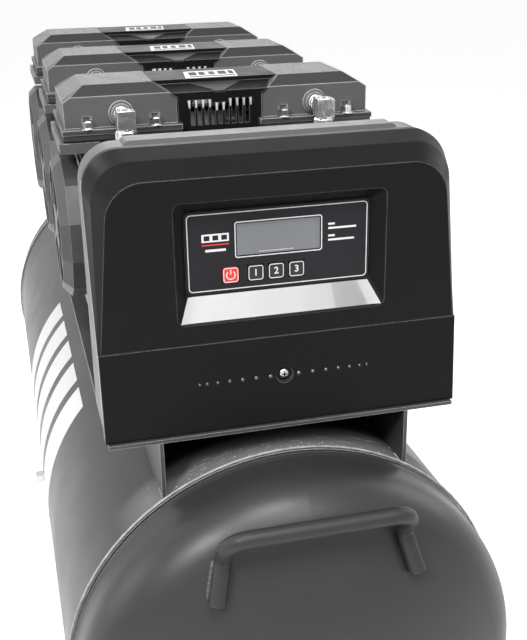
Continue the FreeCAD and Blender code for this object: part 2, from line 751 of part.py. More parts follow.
def valve_plate(y):
    """Two layers under the head: plate and set-back gasket."""
    return joined([flange(y, PLATE_Z, PLATE_T, FLANGE_SIDE - PLATE_IN, FLANGE_END - PLATE_IN),
                   flange(y, GASKET_Z, GASKET_T, FLANGE_SIDE - GASKET_IN, FLANGE_END - GASKET_IN)])


def head_screws():
    right = [hexagon(p, SCREW_R, SCREW_H) for y in PUMP_Y for p in screw_places(y)]
    return Part.makeCompound(right + [mirrored(s) for s in right])


# ---- outlet fittings and hoses --------------------------------------------------------
def elbow_corner(y):
    return V(HEAD_MID, y - BLOCK_BACK, HEAD_Z + BOSS_RISE)


def elbow(y):
    """Right-angle fitting: stem in the boss, forged body, hex nut on the hose."""
    corner = elbow_corner(y)
    (x0, x1), (y0, y1) = around(corner.x, ELBOW_R, corner.y, ELBOW_R)
    body = block((x0, x1), (y0, y1), (corner.z - ELBOW_R, corner.z + ELBOW_R))
    body = body.makeChamfer(ELBOW_EDGE, body.Edges)
    back_run = rod(corner, Y_AXIS, ELBOW_R - NECK_IN, ELBOW_REACH)
    stem = rod(corner, Y_AXIS, STEM_R, ELBOW_REACH + STEM_L)
    neck = rod(corner, -Z_AXIS, ELBOW_R - NECK_IN, ELBOW_DROP)
    nut = hexagon(corner - Z_AXIS * (ELBOW_DROP + NUT_H), NUT_R, NUT_H)
    return joined([body, back_run, stem, neck, nut])


def outlet_elbows():
    right = [elbow(y) for y in PUMP_Y]
    return Part.makeCompound(right + [mirrored(e) for e in right])


def air_hose(y):
    """Hose from the elbow's nut down and inwards to the manifold block."""
    corner = elbow_corner(y)
    start = V(corner.x, corner.y, corner.z - ELBOW_DROP - NUT_H)
    z = PLATFORM_Z + BLOCK_RISE + BLOCK[2] / 2
    route = [start, V(corner.x, corner.y, z), V(BLOCK[0] / 2, corner.y, z)]
    return bent_rod(route, [HOSE_BEND], HOSE_R)


def air_hoses():
    right = [air_hose(y) for y in PUMP_Y]
    return Part.makeCompound(right + [mirrored(h) for h in right])


def manifold_block(y):
    """Brass block on a nipple through the platform into the receiver."""
    w, d, h = BLOCK
    cy = y - BLOCK_BACK
    z = PLATFORM_Z + BLOCK_RISE
    body = block((-w / 2, w / 2), (cy - d / 2, cy + d / 2), (z, z + h))
    low = AXIS_HEIGHT + TANK_R - TANK_WALL
    nipple = rod(V(0, cy, low), Z_AXIS, HOSE_R, z - low + NIPPLE_IN)
    return joined([body, nipple])


def outlet_manifold():
    w, d, h = OUTLET_BLOCK
    y, z = FRONT_Y + OUTLET_Y, AXIS_HEIGHT + TANK_R + OUTLET_RISE
    body = block((-w / 2, w / 2), (y - d / 2, y + d / 2), (z, z + h))
    low = AXIS_HEIGHT + TANK_R - TANK_WALL
    return joined([body, rod(V(0, y, low), Z_AXIS, NIPPLE_R, z - low + NIPPLE_IN)])


def manifold_blocks():
    return Part.makeCompound([manifold_block(y) for y in PUMP_Y] + [outlet_manifold()])


# ---- motor cover ----------------------------------------------------------------------
def lid_section(inset):
    """Section of the motor cover between the heads: upright skirt, flared top."""
    low = HEAD_Z - LID_SKIRT + HEAD_WALL_H
    wall, top = HEAD_Z + HEAD_WALL_H, HEAD_Z + HEAD_TOP_H - inset
    narrow = HEAD_IN - FLANGE_SIDE - LID_GAP - inset
    neck = HEAD_IN - LID_GAP - inset
    wide = HEAD_IN + HEAD_CHAMFER - LID_GAP - inset
    right = [V(narrow, 0, low), V(narrow, 0, HEAD_Z + LID_GAP), V(neck, 0, HEAD_Z + LID_GAP),
             V(neck, 0, wall), V(wide, 0, top)]
    return right + [V(-p.x, 0, p.z) for p in reversed(right)]


def lid_form(y, inset):
    """Solid form of the motor cover, every skin face set in by the inset."""
    half = HEAD_LONG / 2 + LID_END - inset
    form = prism(placed(lid_section(inset), y - half), V(0, 2 * half, 0))
    top, shelf, wide = HEAD_Z + HEAD_TOP_H - inset, HEAD_Z + LID_NOSE_H - inset, HEAD_OUT
    over = HEAD_TOP_H
    wedges = []
    for side in (-1, 1):
        face = y + side * half
        step = face - side * LID_SLOPE
        points = [V(-wide, face, shelf), V(-wide, step, top - LID_STEP), V(-wide, step, top + over),
                  V(-wide, face + side * over, top + over), V(-wide, face + side * over, shelf)]
        wedges.append(prism(points, V(2 * wide, 0, 0)))
    return cut_all(form, wedges)


def slot_tools(y):
    """Louvre slots in both end faces, the middle ones cut short."""
    slot_z = HEAD_Z + LID_NOSE_H - LID_SLOT_TOP
    middle = (SLOT_COUNT - 1) / 2
    tools = []
    for side in (-1, 1):
        face = y + side * (HEAD_LONG / 2 + LID_END)
        for i in range(SLOT_COUNT):
            x = (i - middle) * SLOT_PITCH
            short = SLOT_SHORT if 2 * abs(i - middle) < SHORT_SLOTS else 0
            tools.append(block((x - SLOT_W / 2, x + SLOT_W / 2), (face - 2 * LID_T, face + 2 * LID_T),
                               (slot_z - SLOT_H, slot_z - short)))
    return tools


def motor_cover(y):
    """Moulded lid between the heads, open below."""
    low = lid_form(y, LID_T)
    low.translate(V(0, 0, -LID_T))
    shell = lid_form(y, 0).cut(joined([lid_form(y, LID_T), low]))
    return cut_all(shell, slot_tools(y))


# ---- control box ----------------------------------------------------------------------
def rim_depth(z):
    """Front of the rim behind the front seam, at a height above the receiver axis."""
    lean = (BOX_RIM_TOP - BOX_FACE - RIM_STEP) / (BOX_TOP - BOX_SPLIT)
    return BOX_FACE + RIM_STEP + lean * (z - BOX_SPLIT)


def in_box(shape):
    """From seam-and-axis places to the machine's frame."""
    moved = shape.copy()
    moved.translate(V(0, FRONT_Y, AXIS_HEIGHT))
    return moved


def rim_wire(inset, back):
    marks = rounded_outline(BOX_HALF - inset, BOX_HALF - inset, BOX_SPLIT, BOX_TOP - inset,
                            BOX_CORNER - inset)
    return outline_wire(marks, lambda z: rim_depth(z) + back)


def middle_wire(inset, back):
    """Station between rim and face that gives the bevel its convex bulge."""
    share = BEVEL_BULGE
    marks = rounded_outline(BOX_HALF - FACE_IN_LOW / 2 - inset, BOX_HALF - FACE_IN_TOP * share - inset,
                            BOX_SPLIT, BOX_TOP - FACE_DROP * share - inset,
                            BOX_CORNER + (FACE_CORNER - BOX_CORNER) * share - inset)
    return outline_wire(marks, lambda z: (rim_depth(z) + BOX_FACE) / 2 + back)


def face_wire(inset, back):
    marks = rounded_outline(BOX_HALF - FACE_IN_LOW - inset, BOX_HALF - FACE_IN_TOP - inset, BOX_SPLIT,
                            BOX_TOP - FACE_DROP - inset, FACE_CORNER - inset)
    return outline_wire(marks, lambda z: BOX_FACE + back)


def cover_form(inset):
    """Upper cover as a solid: rim band, convex bevel and raised face."""
    skirt_end = RIM_T + (2 * RIM_T if inset else 0)
    skirt = Part.makeLoft([rim_wire(inset, inset), rim_wire(inset, skirt_end)], True, True)
    bevel = Part.makeLoft([rim_wire(inset, inset), middle_wire(inset, inset), face_wire(inset, inset)],
                          True, True)
    return joined([skirt, bevel])


def soft_rectangle(x, z, width, height, corner, depth):
    """Round-cornered upright outline about a middle, at a depth behind the front seam."""
    w, h = width / 2, height / 2
    slack = corner * (1 - math.sqrt(0.5))

    def at(right, up):
        return V(x + right, depth, z + up)

    arcs = []
    for sx, sz in ((1, -1), (1, 1), (-1, 1), (-1, -1)):
        side, end = at(sx * w, sz * (h - corner)), at(sx * (w - corner), sz * h)
        middle = at(sx * (w - slack), sz * (h - slack))
        arcs.append((side, middle, end) if sx * sz > 0 else (end, middle, side))
    edges = []
    for i, (enter, middle, leave) in enumerate(arcs):
        edges.append(Part.Arc(enter, middle, leave).toShape())
        edges.append(Part.LineSegment(leave, arcs[(i + 1) % len(arcs)][0]).toShape())
    return Part.Wire(edges)


def recess_form(grow):
    """Pocket that narrows from the raised face to the display's floor."""
    width, height = SCREEN_W + 2 * grow, SCREEN_H + 2 * grow
    floor = soft_rectangle(0, SCREEN_MID, width, height, SCREEN_R + grow, SCREEN_Y + grow)
    mouth = soft_rectangle(0, SCREEN_MID + (LEDGE_TOP - LEDGE_LOW) / 2, width + 2 * LEDGE_SIDE,
                           height + LEDGE_TOP + LEDGE_LOW, MOUTH_R + grow, BOX_FACE)
    return Part.makeLoft([floor, mouth], True, True)


def screen_plate(right, up, width, height, corner, thick, out):
    """Round-cornered plate on the display, its back `out` in front of the recess floor."""
    outline = soft_rectangle(right, SCREEN_MID + up, width, height, corner, SCREEN_Y - out)
    return Part.Face(outline).extrude(V(0, -thick, 0))


def screen_hole(right, up, width, height, back, front):
    """Square-cornered tool, from `back` behind the recess floor to `front` before it."""
    z = SCREEN_MID + up
    return block((right - width / 2, right + width / 2), (SCREEN_Y - front, SCREEN_Y + back),
                 (z - height / 2, z + height / 2))


def key_places():
    return [(POWER_X, -KEY_DROP)] + [(KEY_X + i * KEY_PITCH, -KEY_DROP) for i in range(PUMP_COUNT)]


def key_holes():
    room, deep = KEY + 2 * MOVE_GAP, 2 * BOX_WALL
    return [screen_hole(x, up, room, room, deep, deep) for x, up in key_places()]


def upper_cover():
    """Front cover with convex bevel, raised face and sunk display."""
    shell = cover_form(0).cut(cover_form(BOX_WALL))
    return in_box(cut_all(joined([shell, recess_form(BOX_WALL)]), [recess_form(0)] + key_holes()))


def lower_front(z):
    share = (z - BOX_BOTTOM) / (BOX_SPLIT - BOX_BOTTOM)
    return BOX_FRONT_LOW + share * (BOX_FACE - BOX_FRONT_LOW)


def lower_form(inset, end):
    top = BOX_SPLIT - SEAM_GAP
    low = BOX_BOTTOM + inset
    half = BOX_HALF - inset
    side = [V(-half, lower_front(low) + inset, low), V(-half, lower_front(top) + inset, top),
            V(-half, end, top), V(-half, end, low)]
    return prism(side, V(2 * half, 0, 0))


def dot_tools(y, z):
    """Six-sided blind holes in a row, each side closing up and shrinking outwards."""
    tools = []
    for i in range(DOT_SIDE):
        share = i / (DOT_SIDE - 1)
        x = DOT_FIRST + (DOT_LAST - DOT_FIRST) * (1 - (1 - share) ** DOT_EASE)
        radius = DOT_R + (DOT_R_LAST - DOT_R) * share
        for side in (-1, 1):
            tool = hexagon(V(0, 0, -DOT_DEPTH), radius, 2 * DOT_DEPTH)
            tool.rotate(ORIGIN, X_AXIS, -90)
            tool.translate(V(side * x, y, z))
            tools.append(tool)
    return tools


def lower_cover():
    """Lower front cover: leaned face, hole row, screw well in the middle."""
    end = rim_depth(BOX_SPLIT) + RIM_T
    shell = lower_form(0, end).cut(lower_form(BOX_WALL, end + BOX_WALL))
    z = BOX_BOTTOM + DOT_RISE
    y = lower_front(z)
    cup = rod(V(0, y, z), Y_AXIS, SCREW_WELL_R + BOX_WALL, WELL_DEPTH + BOX_WALL)
    cup = cup.cut(lower_room(-BOX_HALF))
    well = rod(V(0, y - WELL_DEPTH, z), Y_AXIS, SCREW_WELL_R, 2 * WELL_DEPTH)
    bore = rod(V(0, y, z), Y_AXIS, SCREW_SHANK + SEAT, 2 * BOX_WALL + WELL_DEPTH)
    return in_box(cut_all(joined([shell, cup]), dot_tools(y, z) + [well, bore]))


def lower_room(reach):
    """Room in front of the lower face."""
    points = [V(-BOX_HALF, lower_front(BOX_BOTTOM), BOX_BOTTOM),
              V(-BOX_HALF, lower_front(BOX_SPLIT), BOX_SPLIT),
              V(-BOX_HALF, reach, BOX_SPLIT), V(-BOX_HALF, reach, BOX_BOTTOM)]
    return prism(points, V(2 * BOX_HALF, 0, 0))


def cover_screw():
    """Round-headed screw in the lower cover's well."""
    z = BOX_BOTTOM + DOT_RISE
    y = lower_front(z) + WELL_DEPTH
    outline = [V(0, y + BOX_WALL, z), V(0, y + BOX_WALL, z + SCREW_SHANK), V(0, y, z + SCREW_SHANK),
               V(0, y, z + PAN_R), V(0, y - PAN_H / 2, z + PAN_R), V(0, y - PAN_H, z + PAN_R / 2),
               V(0, y - PAN_H, z)]
    return in_box(turned(outline, V(0, 0, z), Y_AXIS))


def rear_housing():
    """Back shell behind both covers, with a low hump across its top."""
    front = RIM_T + SEAM_GAP
    half, top, corner = BOX_HALF - REAR_SET, BOX_TOP - REAR_SET, BOX_CORNER - REAR_SET
    outer = rear_block(half, top, corner, front, BOX_BACK, 0)
    hump = rear_block(HUMP_HALF, BOX_TOP + HUMP_H, HUMP_CORNER, front + HUMP_BACK, BOX_BACK, 0)
    inner = rear_block(half - BOX_WALL, top - BOX_WALL, corner - BOX_WALL, front - BOX_WALL,
                       BOX_BACK - BOX_WALL, BOX_WALL)
    return in_box(joined([outer, hump]).cut(inner))


def rear_block(half, top, corner, front, back, lift):
    """Upright box with round top corners, its front cut to the covers' lean."""
    marks = rounded_outline(half, half, BOX_BOTTOM + lift, top, corner)
    body = Part.Face(outline_wire(marks, lambda z: 0.0)).extrude(V(0, back, 0))
    wide, high = BOX_HALF * 2, BOX_TOP + BOX_HALF
    knee, peak = rim_depth(BOX_SPLIT) + front, rim_depth(high) + front
    points = [V(-wide, -wide, 0), V(-wide, knee, 0), V(-wide, knee, BOX_SPLIT), V(-wide, peak, high),
              V(-wide, -wide, high)]
    return body.cut(prism(points, V(2 * wide, 0, 0)))


def display_membrane():
    """Glossy front plate of the display with openings for window and keys."""
    plate = screen_plate(0, 0, SCREEN_W - 2 * SEAM_GAP, SCREEN_H - 2 * SEAM_GAP, SCREEN_R, SCREEN_T, 0)
    return in_box(cut_all(plate, [screen_hole(*LCD, SCREEN_T, 2 * SCREEN_T)] + key_holes()))


def lcd_window():
    x, up, w, h = LCD
    return in_box(screen_hole(x, up, w - 2 * SEAT, h - 2 * SEAT, 0, LCD_T))


def key_cap(index):
    x, up = key_places()[index]
    thick = SCREEN_T + KEY_PROUD + KEY_T
    return in_box(screen_plate(x, up, KEY, KEY, KEY_R, thick, -KEY_T))


def control_board():
    """Circuit board on posts at the back wall, with a relay for each pump and a capacitor."""
    y = BOX_BACK - BOX_WALL
    low, high = BOX_BOTTOM + BOARD_LOW, BOX_BOTTOM + BOARD_HIGH
    front = y - BOARD_OFF - BOARD_T
    parts = [block((-BOARD_HALF, BOARD_HALF), (front, front + BOARD_T), (low, high))]
    for sx in (-1, 1):
        for z in (low + POST, high - POST):
            parts.append(block(*around(sx * (BOARD_HALF - POST), POST / 2, y - BOARD_OFF / 2, BOARD_OFF / 2),
                               (z - POST / 2, z + POST / 2)))
    w, d, h = RELAY
    for i in range(PUMP_COUNT):
        x = (i - (PUMP_COUNT - 1) / 2) * RELAY_PITCH
        parts.append(block((x - w / 2, x + w / 2), (front - d, front), (low + POST, low + POST + h)))
    z = low + POST + h + 2 * CAPACITOR_R
    parts.append(rod(V(0, front - CAPACITOR_L, z), Y_AXIS, CAPACITOR_R, CAPACITOR_L))
    return in_box(joined(parts))


# ---- undercarriage --------------------------------------------------------------------
def axle_frame():
    """Two upright plates under the receiver, tied by a cross plate, carrying the axle."""
    y = FRONT_Y + AXLE_Y
    x0, x1 = FRAME_X, FRAME_X + FRAME_T
    low = WHEEL_R - EYE_WALL
    side = prism([V(x0, y - FRAME_EYE, low), V(x0, y + FRAME_EYE, low),
                  V(x0, y + FRAME_HALF, AXIS_HEIGHT), V(x0, y - FRAME_HALF, AXIS_HEIGHT)],
                 V(FRAME_T, 0, 0)).cut(tank_core())
    side = side.common(block((x0, x1), (y - FRAME_HALF, y + FRAME_HALF), (low, AXIS_HEIGHT - TANK_R / 2)))
    tie_z = AXIS_HEIGHT - TANK_R - TIE_DROP
    tie = block((-x0, x0), (y - TIE_HALF, y + TIE_HALF), (tie_z, tie_z + FRAME_T))
    frame = joined([side, mirrored(side), tie])
    return frame.cut(rod(V(-x1, y, WHEEL_R), X_AXIS, AXLE_R + SEAT, 2 * x1))


def axle():
    """Fixed axle turned with shoulders inside the wheels and caps outside them."""
    y = FRONT_Y + AXLE_Y
    inner = FRAME_X + FRAME_T + SEAT
    shoulder, cap = WHEEL_IN - MOVE_GAP, WHEEL_IN + WHEEL_W + MOVE_GAP
    steps = [(inner, AXLE_R), (inner, COLLAR_R), (shoulder, COLLAR_R), (shoulder, AXLE_R),
             (cap, AXLE_R), (cap, COLLAR_R), (cap + CAP_L, COLLAR_R), (cap + CAP_L, 0)]
    right = [V(x, y, WHEEL_R + r) for x, r in steps]
    left = [V(-p.x, p.y, p.z) for p in reversed(right)]
    return turned(left + right, V(0, y, WHEEL_R), X_AXIS)


def wheel_rim(side):
    """Dished wheel centre: bore, hub, web and band turned as one."""
    y = FRONT_Y + AXLE_Y
    x0, x1 = WHEEL_IN, WHEEL_IN + WHEEL_W
    bore, hub, rim = AXLE_R + RUN_FIT, HUB_R, WHEEL_R - TYRE_T
    steps = [(x0, bore), (x0, rim), (x1 - BAND_IN, rim), (x1 - BAND_IN, rim - BAND_T),
             (x0 + WEB_T, rim - BAND_T), (x0 + WEB_T, hub), (x1, hub), (x1, bore)]
    rim = turned([V(x, y, WHEEL_R + r) for x, r in steps], V(0, y, WHEEL_R), X_AXIS)
    return rim if side > 0 else mirrored(rim)


def tyre(side):
    """Solid rubber tyre with a rounded tread."""
    y = FRONT_Y + AXLE_Y
    x0, x1 = WHEEL_IN, WHEEL_IN + WHEEL_W - BAND_IN
    low, shoulder, crown = 2 * WHEEL_R - TYRE_T, 2 * WHEEL_R - TREAD_DROP, 2 * WHEEL_R
    tread = Part.Arc(V(x0, y, shoulder), V((x0 + x1) / 2, y, crown), V(x1, y, shoulder)).toShape()
    sides = lines([V(x1, y, shoulder), V(x1, y, low), V(x0, y, low), V(x0, y, shoulder)])
    ring = Part.Face(Part.Wire([tread] + sides)).revolve(V(0, y, WHEEL_R), X_AXIS, 360)
    return ring if side > 0 else mirrored(ring)


def front_stand():
    """Bent plate across the receiver's belly with a shelf for the feet."""
    y = FRONT_Y + FOOT_Y
    half, shoulder = FOOT_X + PAD_R, PAD_H + STAND_LIP
    crest = AXIS_HEIGHT - TANK_R / 2
    web = prism([V(-half, y, PAD_H), V(half, y, PAD_H), V(half, y, shoulder), V(FOOT_X, y, crest),
                 V(-FOOT_X, y, crest), V(-half, y, shoulder)], V(0, FRAME_T, 0)).cut(tank_core())
    shelf = block((-half, half), (y, y + STAND_DEPTH), (PAD_H, PAD_H + FRAME_T))
    holes = [rod(V(s * FOOT_X, y + STAND_DEPTH / 2, PAD_H), Z_AXIS, STUD_R + SEAT, FRAME_T) for s in (-1, 1)]
    return cut_all(joined([web, shelf]), holes)


def rubber_feet():
    """Tapered feet, each with its stud up through the shelf."""
    y = FRONT_Y + FOOT_Y + STAND_DEPTH / 2
    top = PAD_H + FRAME_T + STUD_END
    outline = [V(0, 0, 0), V(PAD_R, 0, 0), V(PAD_TOP_R, 0, PAD_H), V(STUD_R, 0, PAD_H),
               V(STUD_R, 0, top), V(0, 0, top)]
    foot = turned(outline, ORIGIN, Z_AXIS)
    foot.translate(V(FOOT_X, y, 0))
    return both_sides(foot)


# ---- receiver fittings ----------------------------------------------------------------
def port_plugs():
    """Hex plug in each side of the receiver."""
    plug = joined([rod(V(0, 0, TANK_R - TANK_WALL), Z_AXIS, PLUG_R, TANK_WALL + PLUG_OUT / 2),
                   hexagon(V(0, 0, TANK_R + MOVE_GAP), PLUG_R + PLUG_LIP, PLUG_OUT)])
    plug.rotate(ORIGIN, Y_AXIS, 90 - PLUG_ANGLE)
    plug.translate(V(0, FRONT_Y + PLUG_Y, AXIS_HEIGHT))
    return both_sides(plug)


def outlet_valve():
    """Ball valve on the manifold's right side: neck, body, bored nose and stem tower."""
    y, z = FRONT_Y + OUTLET_Y, AXIS_HEIGHT + TANK_R + OUTLET_RISE + OUTLET_BLOCK[2] / 2
    x0 = OUTLET_BLOCK[0] / 2
    x1, x2 = x0 + VALVE_NECK, x0 + VALVE_NECK + VALVE_L
    x3 = x2 + NOSE_L
    steps = [(x0, 0), (x0, NOSE_R), (x1, NOSE_R), (x1, VALVE_R), (x2, VALVE_R), (x2, NOSE_R),
             (x3, NOSE_R), (x3, NOSE_BORE), (x1, NOSE_BORE), (x1, 0)]
    body = turned([V(x, y, z + r) for x, r in steps], V(0, y, z), X_AXIS)
    tower = rod(V((x1 + x2) / 2, y, z + NOSE_BORE * 2), Z_AXIS, TOWER_R, VALVE_R + TOWER_H - NOSE_BORE * 2)
    return joined([body, tower])


def lever_pivot():
    z = AXIS_HEIGHT + TANK_R + OUTLET_RISE + OUTLET_BLOCK[2] / 2 + VALVE_R + TOWER_H + MOVE_GAP
    return V(OUTLET_BLOCK[0] / 2 + VALVE_NECK + VALVE_L / 2, FRONT_Y + OUTLET_Y, z)


def outlet_lever():
    """Cranked lever on the valve stem, lying along the receiver when shut."""
    p = lever_pivot()
    x, y, z = p.x - LEVER_W / 2, p.y, p.z
    crank = [V(x, y, z), V(x, y + CRANK_START, z), V(x, y + CRANK_END, z + CRANK_RISE),
             V(x, y + LEVER_L, z + CRANK_RISE), V(x, y + LEVER_L, z + CRANK_RISE + LEVER_T),
             V(x, y + CRANK_END - LEVER_T / 2, z + CRANK_RISE + LEVER_T),
             V(x, y + CRANK_START - LEVER_T / 2, z + LEVER_T), V(x, y, z + LEVER_T)]
    hub = rod(p, Z_AXIS, LEVER_W / 2, LEVER_T)
    return joined([hub, prism(crank, V(LEVER_W, 0, 0)), hexagon(p, TOWER_R, LEVER_T + LEVER_NUT)])


def safety_base():
    z = AXIS_HEIGHT + TANK_R + OUTLET_RISE + OUTLET_BLOCK[2]
    return V(-OUTLET_BLOCK[0] / 4, FRONT_Y + OUTLET_Y, z)


def safety_valve():
    """Brass body on a hex foot, bored for the pull pin."""
    body = joined([hexagon(ORIGIN, SAFETY_R + SAFETY_LIP, SAFETY_HEX),
                   rod(ORIGIN, Z_AXIS, SAFETY_R, SAFETY_H)])
    depth = SAFETY_H - PIN_DEPTH - MOVE_GAP
    body = body.cut(rod(V(0, 0, depth), Z_AXIS, PIN_R + MOVE_GAP, SAFETY_H))
    body.translate(safety_base())
    return body


def safety_ring():
    """Pull pin with a flat ring on its top."""
    ring_z = SAFETY_H + PIN_OUT + RING_R
    pin = rod(V(0, 0, SAFETY_H - PIN_DEPTH), Z_AXIS, PIN_R, PIN_DEPTH + PIN_OUT + RING_W)
    ring = rod(V(0, -PIN_R, ring_z), Y_AXIS, RING_R, 2 * PIN_R)
    ring = ring.cut(rod(V(0, -PIN_R, ring_z), Y_AXIS, RING_R - RING_W, 2 * PIN_R))
    pull = joined([pin, ring])
    pull.translate(safety_base())
    return pull


def drain_cock():
    """Threaded body through the shell with a hex outside, bored for the knob's stem."""
    low = -DRAIN_H
    body = joined([rod(V(0, 0, low), Z_AXIS, DRAIN_R, DRAIN_H + TANK_WALL),
                   hexagon(V(0, 0, low), DRAIN_R + DRAIN_LIP, DRAIN_H / 2)])
    body = body.cut(rod(V(0, 0, low), Z_AXIS, STEM_KNOB_R + RUN_FIT, STEM_KNOB_L + MOVE_GAP))
    body.translate(V(0, FRONT_Y + DRAIN_Y, AXIS_HEIGHT - TANK_R))
    return body


def drain_knob():
    """Six-sided thumb knob on a stem."""
    top = -DRAIN_H - MOVE_GAP
    knob = joined([hexagon(V(0, 0, top - KNOB_H), KNOB_R, KNOB_H),
                   rod(V(0, 0, top - KNOB_H), Z_AXIS, STEM_KNOB_R, KNOB_H + MOVE_GAP + STEM_KNOB_L)])
    knob.translate(V(0, FRONT_Y + DRAIN_Y, AXIS_HEIGHT - TANK_R))
    return knob


# ---- nodes ----------------------------------------------------------------------------
def fixed_nodes():
    nodes = {
        "tank_shell": tank_shell(), "front_head": front_head(), "rear_head": rear_head(),
        "front_handle": front_handle(), "platform": platform(), "platform_rails": platform_rails(),
        "rubber_mounts": rubber_mounts(), "head_screws": head_screws(),
        "outlet_elbows": outlet_elbows(), "air_hoses": air_hoses(),
        "manifold_blocks": manifold_blocks(),
        "crankcases": Part.makeCompound([both_sides(crankcase(y)) for y in PUMP_Y]),
        "motor_housings": Part.makeCompound([motor_housing(y) for y in PUMP_Y]),
        "valve_plates": Part.makeCompound([both_sides(valve_plate(y)) for y in PUMP_Y]),
        "cylinders": Part.makeCompound([both_sides(finned_cylinder(y)) for y in PUMP_Y]),
        "upper_cover": upper_cover(), "lower_cover": lower_cover(), "rear_housing": rear_housing(),
        "display_membrane": display_membrane(), "lcd_window": lcd_window(),
        "cover_screw": cover_screw(), "control_board": control_board(),
        "axle_frame": axle_frame(), "axle": axle(), "front_stand": front_stand(),
        "rubber_feet": rubber_feet(), "port_plugs": port_plugs(), "outlet_valve": outlet_valve(),
        "safety_valve": safety_valve(), "drain_cock": drain_cock(),
    }
    for i, y in enumerate(PUMP_Y, 1):
        head = cylinder_head(y)
        nodes[f"head_right_{i}"] = head
        nodes[f"head_left_{i}"] = mirrored(head)
        nodes[f"motor_cover_{i}"] = motor_cover(y)
        nodes[f"fan_covers_{i}"] = both_sides(fan_cover(y))
    return nodes


def moving_nodes():
    nodes = {"outlet_lever": outlet_lever(), "safety_ring": safety_ring(), "drain_knob": drain_knob(),
             "power_button": key_cap(0)}
    for i, y in enumerate(PUMP_Y, 1):
        nodes[f"rotor_shaft_{i}"] = rotor_shaft(y)
        nodes[f"fans_{i}"] = both_sides(fan(y))
        nodes[f"pump_button_{i}"] = key_cap(i)
    for name, side in (("left", -1), ("right", 1)):
        nodes[f"wheel_{name}"] = wheel_rim(side)
        nodes[f"tyre_{name}"] = tyre(side)
    return nodes


def main():
    os.makedirs("parts", exist_ok=True)
    for node, shape in {**fixed_nodes(), **moving_nodes()}.items():
        shape.exportStep(f"parts/{node}.step")


main()
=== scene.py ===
"""Looks of the oil-free air compressor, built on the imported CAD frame. Metres, +Z up, +Y to the wheels."""
import json
import math
import random

import bmesh
import bpy
from mathutils import Matrix, Vector


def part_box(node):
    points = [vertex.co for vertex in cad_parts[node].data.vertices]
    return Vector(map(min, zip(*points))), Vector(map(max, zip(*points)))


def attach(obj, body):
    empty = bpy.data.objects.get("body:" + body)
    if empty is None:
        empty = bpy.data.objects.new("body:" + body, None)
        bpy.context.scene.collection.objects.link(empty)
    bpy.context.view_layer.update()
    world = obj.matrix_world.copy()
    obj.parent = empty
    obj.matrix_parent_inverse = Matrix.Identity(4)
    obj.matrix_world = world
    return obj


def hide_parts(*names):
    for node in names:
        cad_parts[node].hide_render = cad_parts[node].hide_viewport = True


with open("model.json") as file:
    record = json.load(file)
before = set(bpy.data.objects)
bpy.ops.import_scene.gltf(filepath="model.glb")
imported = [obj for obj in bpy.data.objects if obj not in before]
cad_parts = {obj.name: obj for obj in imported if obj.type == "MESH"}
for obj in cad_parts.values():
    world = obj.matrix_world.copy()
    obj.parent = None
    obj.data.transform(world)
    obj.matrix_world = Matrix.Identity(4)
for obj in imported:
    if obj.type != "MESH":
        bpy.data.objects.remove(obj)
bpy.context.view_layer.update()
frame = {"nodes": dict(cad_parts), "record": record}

NODES = frame["nodes"]
MM = 0.001


# ---- camera -----------------------------------------------------------------------------
CAMERA_AT = Vector((-0.1887, -1.1092, 0.8330))
PITCH_DOWN = math.radians(21.91)
YAW_RIGHT = math.radians(14.33)
ROLL = math.radians(-0.917)
SENSOR = 36.0
LENS = 58.03


def add_camera():
    forward_flat = Vector((math.sin(YAW_RIGHT), math.cos(YAW_RIGHT), 0))
    right = Vector((math.cos(YAW_RIGHT), -math.sin(YAW_RIGHT), 0))
    up = Vector((0, 0, 1))
    forward = forward_flat * math.cos(PITCH_DOWN) - up * math.sin(PITCH_DOWN)
    lifted = forward_flat * math.sin(PITCH_DOWN) + up * math.cos(PITCH_DOWN)
    side = right * math.cos(ROLL) + lifted * math.sin(ROLL)
    top = lifted * math.cos(ROLL) - right * math.sin(ROLL)
    turn = Matrix((side, top, -forward)).transposed().to_4x4()
    data = bpy.data.cameras.new("camera")
    data.sensor_fit = "VERTICAL"
    data.sensor_height = SENSOR
    data.lens = LENS
    data.clip_start = 0.01
    camera = bpy.data.objects.new("camera", data)
    camera.matrix_world = Matrix.Translation(CAMERA_AT) @ turn
    bpy.context.collection.objects.link(camera)
    bpy.context.scene.camera = camera


# ---- stage ------------------------------------------------------------------------------
WORLD_LIGHT = 0.1
FLOOR_SIZE = 30.0
FLOOR_GLOW = 0.8


def shader(name):
    """New node material: (material, nodes, links, principled shader)."""
    mat = bpy.data.materials.new(name)
    mat.use_nodes = True
    nodes, links = mat.node_tree.nodes, mat.node_tree.links
    return mat, nodes, links, nodes["Principled BSDF"]


def camera_ray_mask(nodes, links):
    """1 where a camera, glossy or transmission ray arrives."""
    path = nodes.new("ShaderNodeLightPath")
    first = nodes.new("ShaderNodeMath")
    first.operation = "MAXIMUM"
    links.new(path.outputs["Is Camera Ray"], first.inputs[0])
    links.new(path.outputs["Is Glossy Ray"], first.inputs[1])
    both = nodes.new("ShaderNodeMath")
    both.operation = "MAXIMUM"
    links.new(first.outputs[0], both.inputs[0])
    links.new(path.outputs["Is Transmission Ray"], both.inputs[1])
    return both.outputs[0]


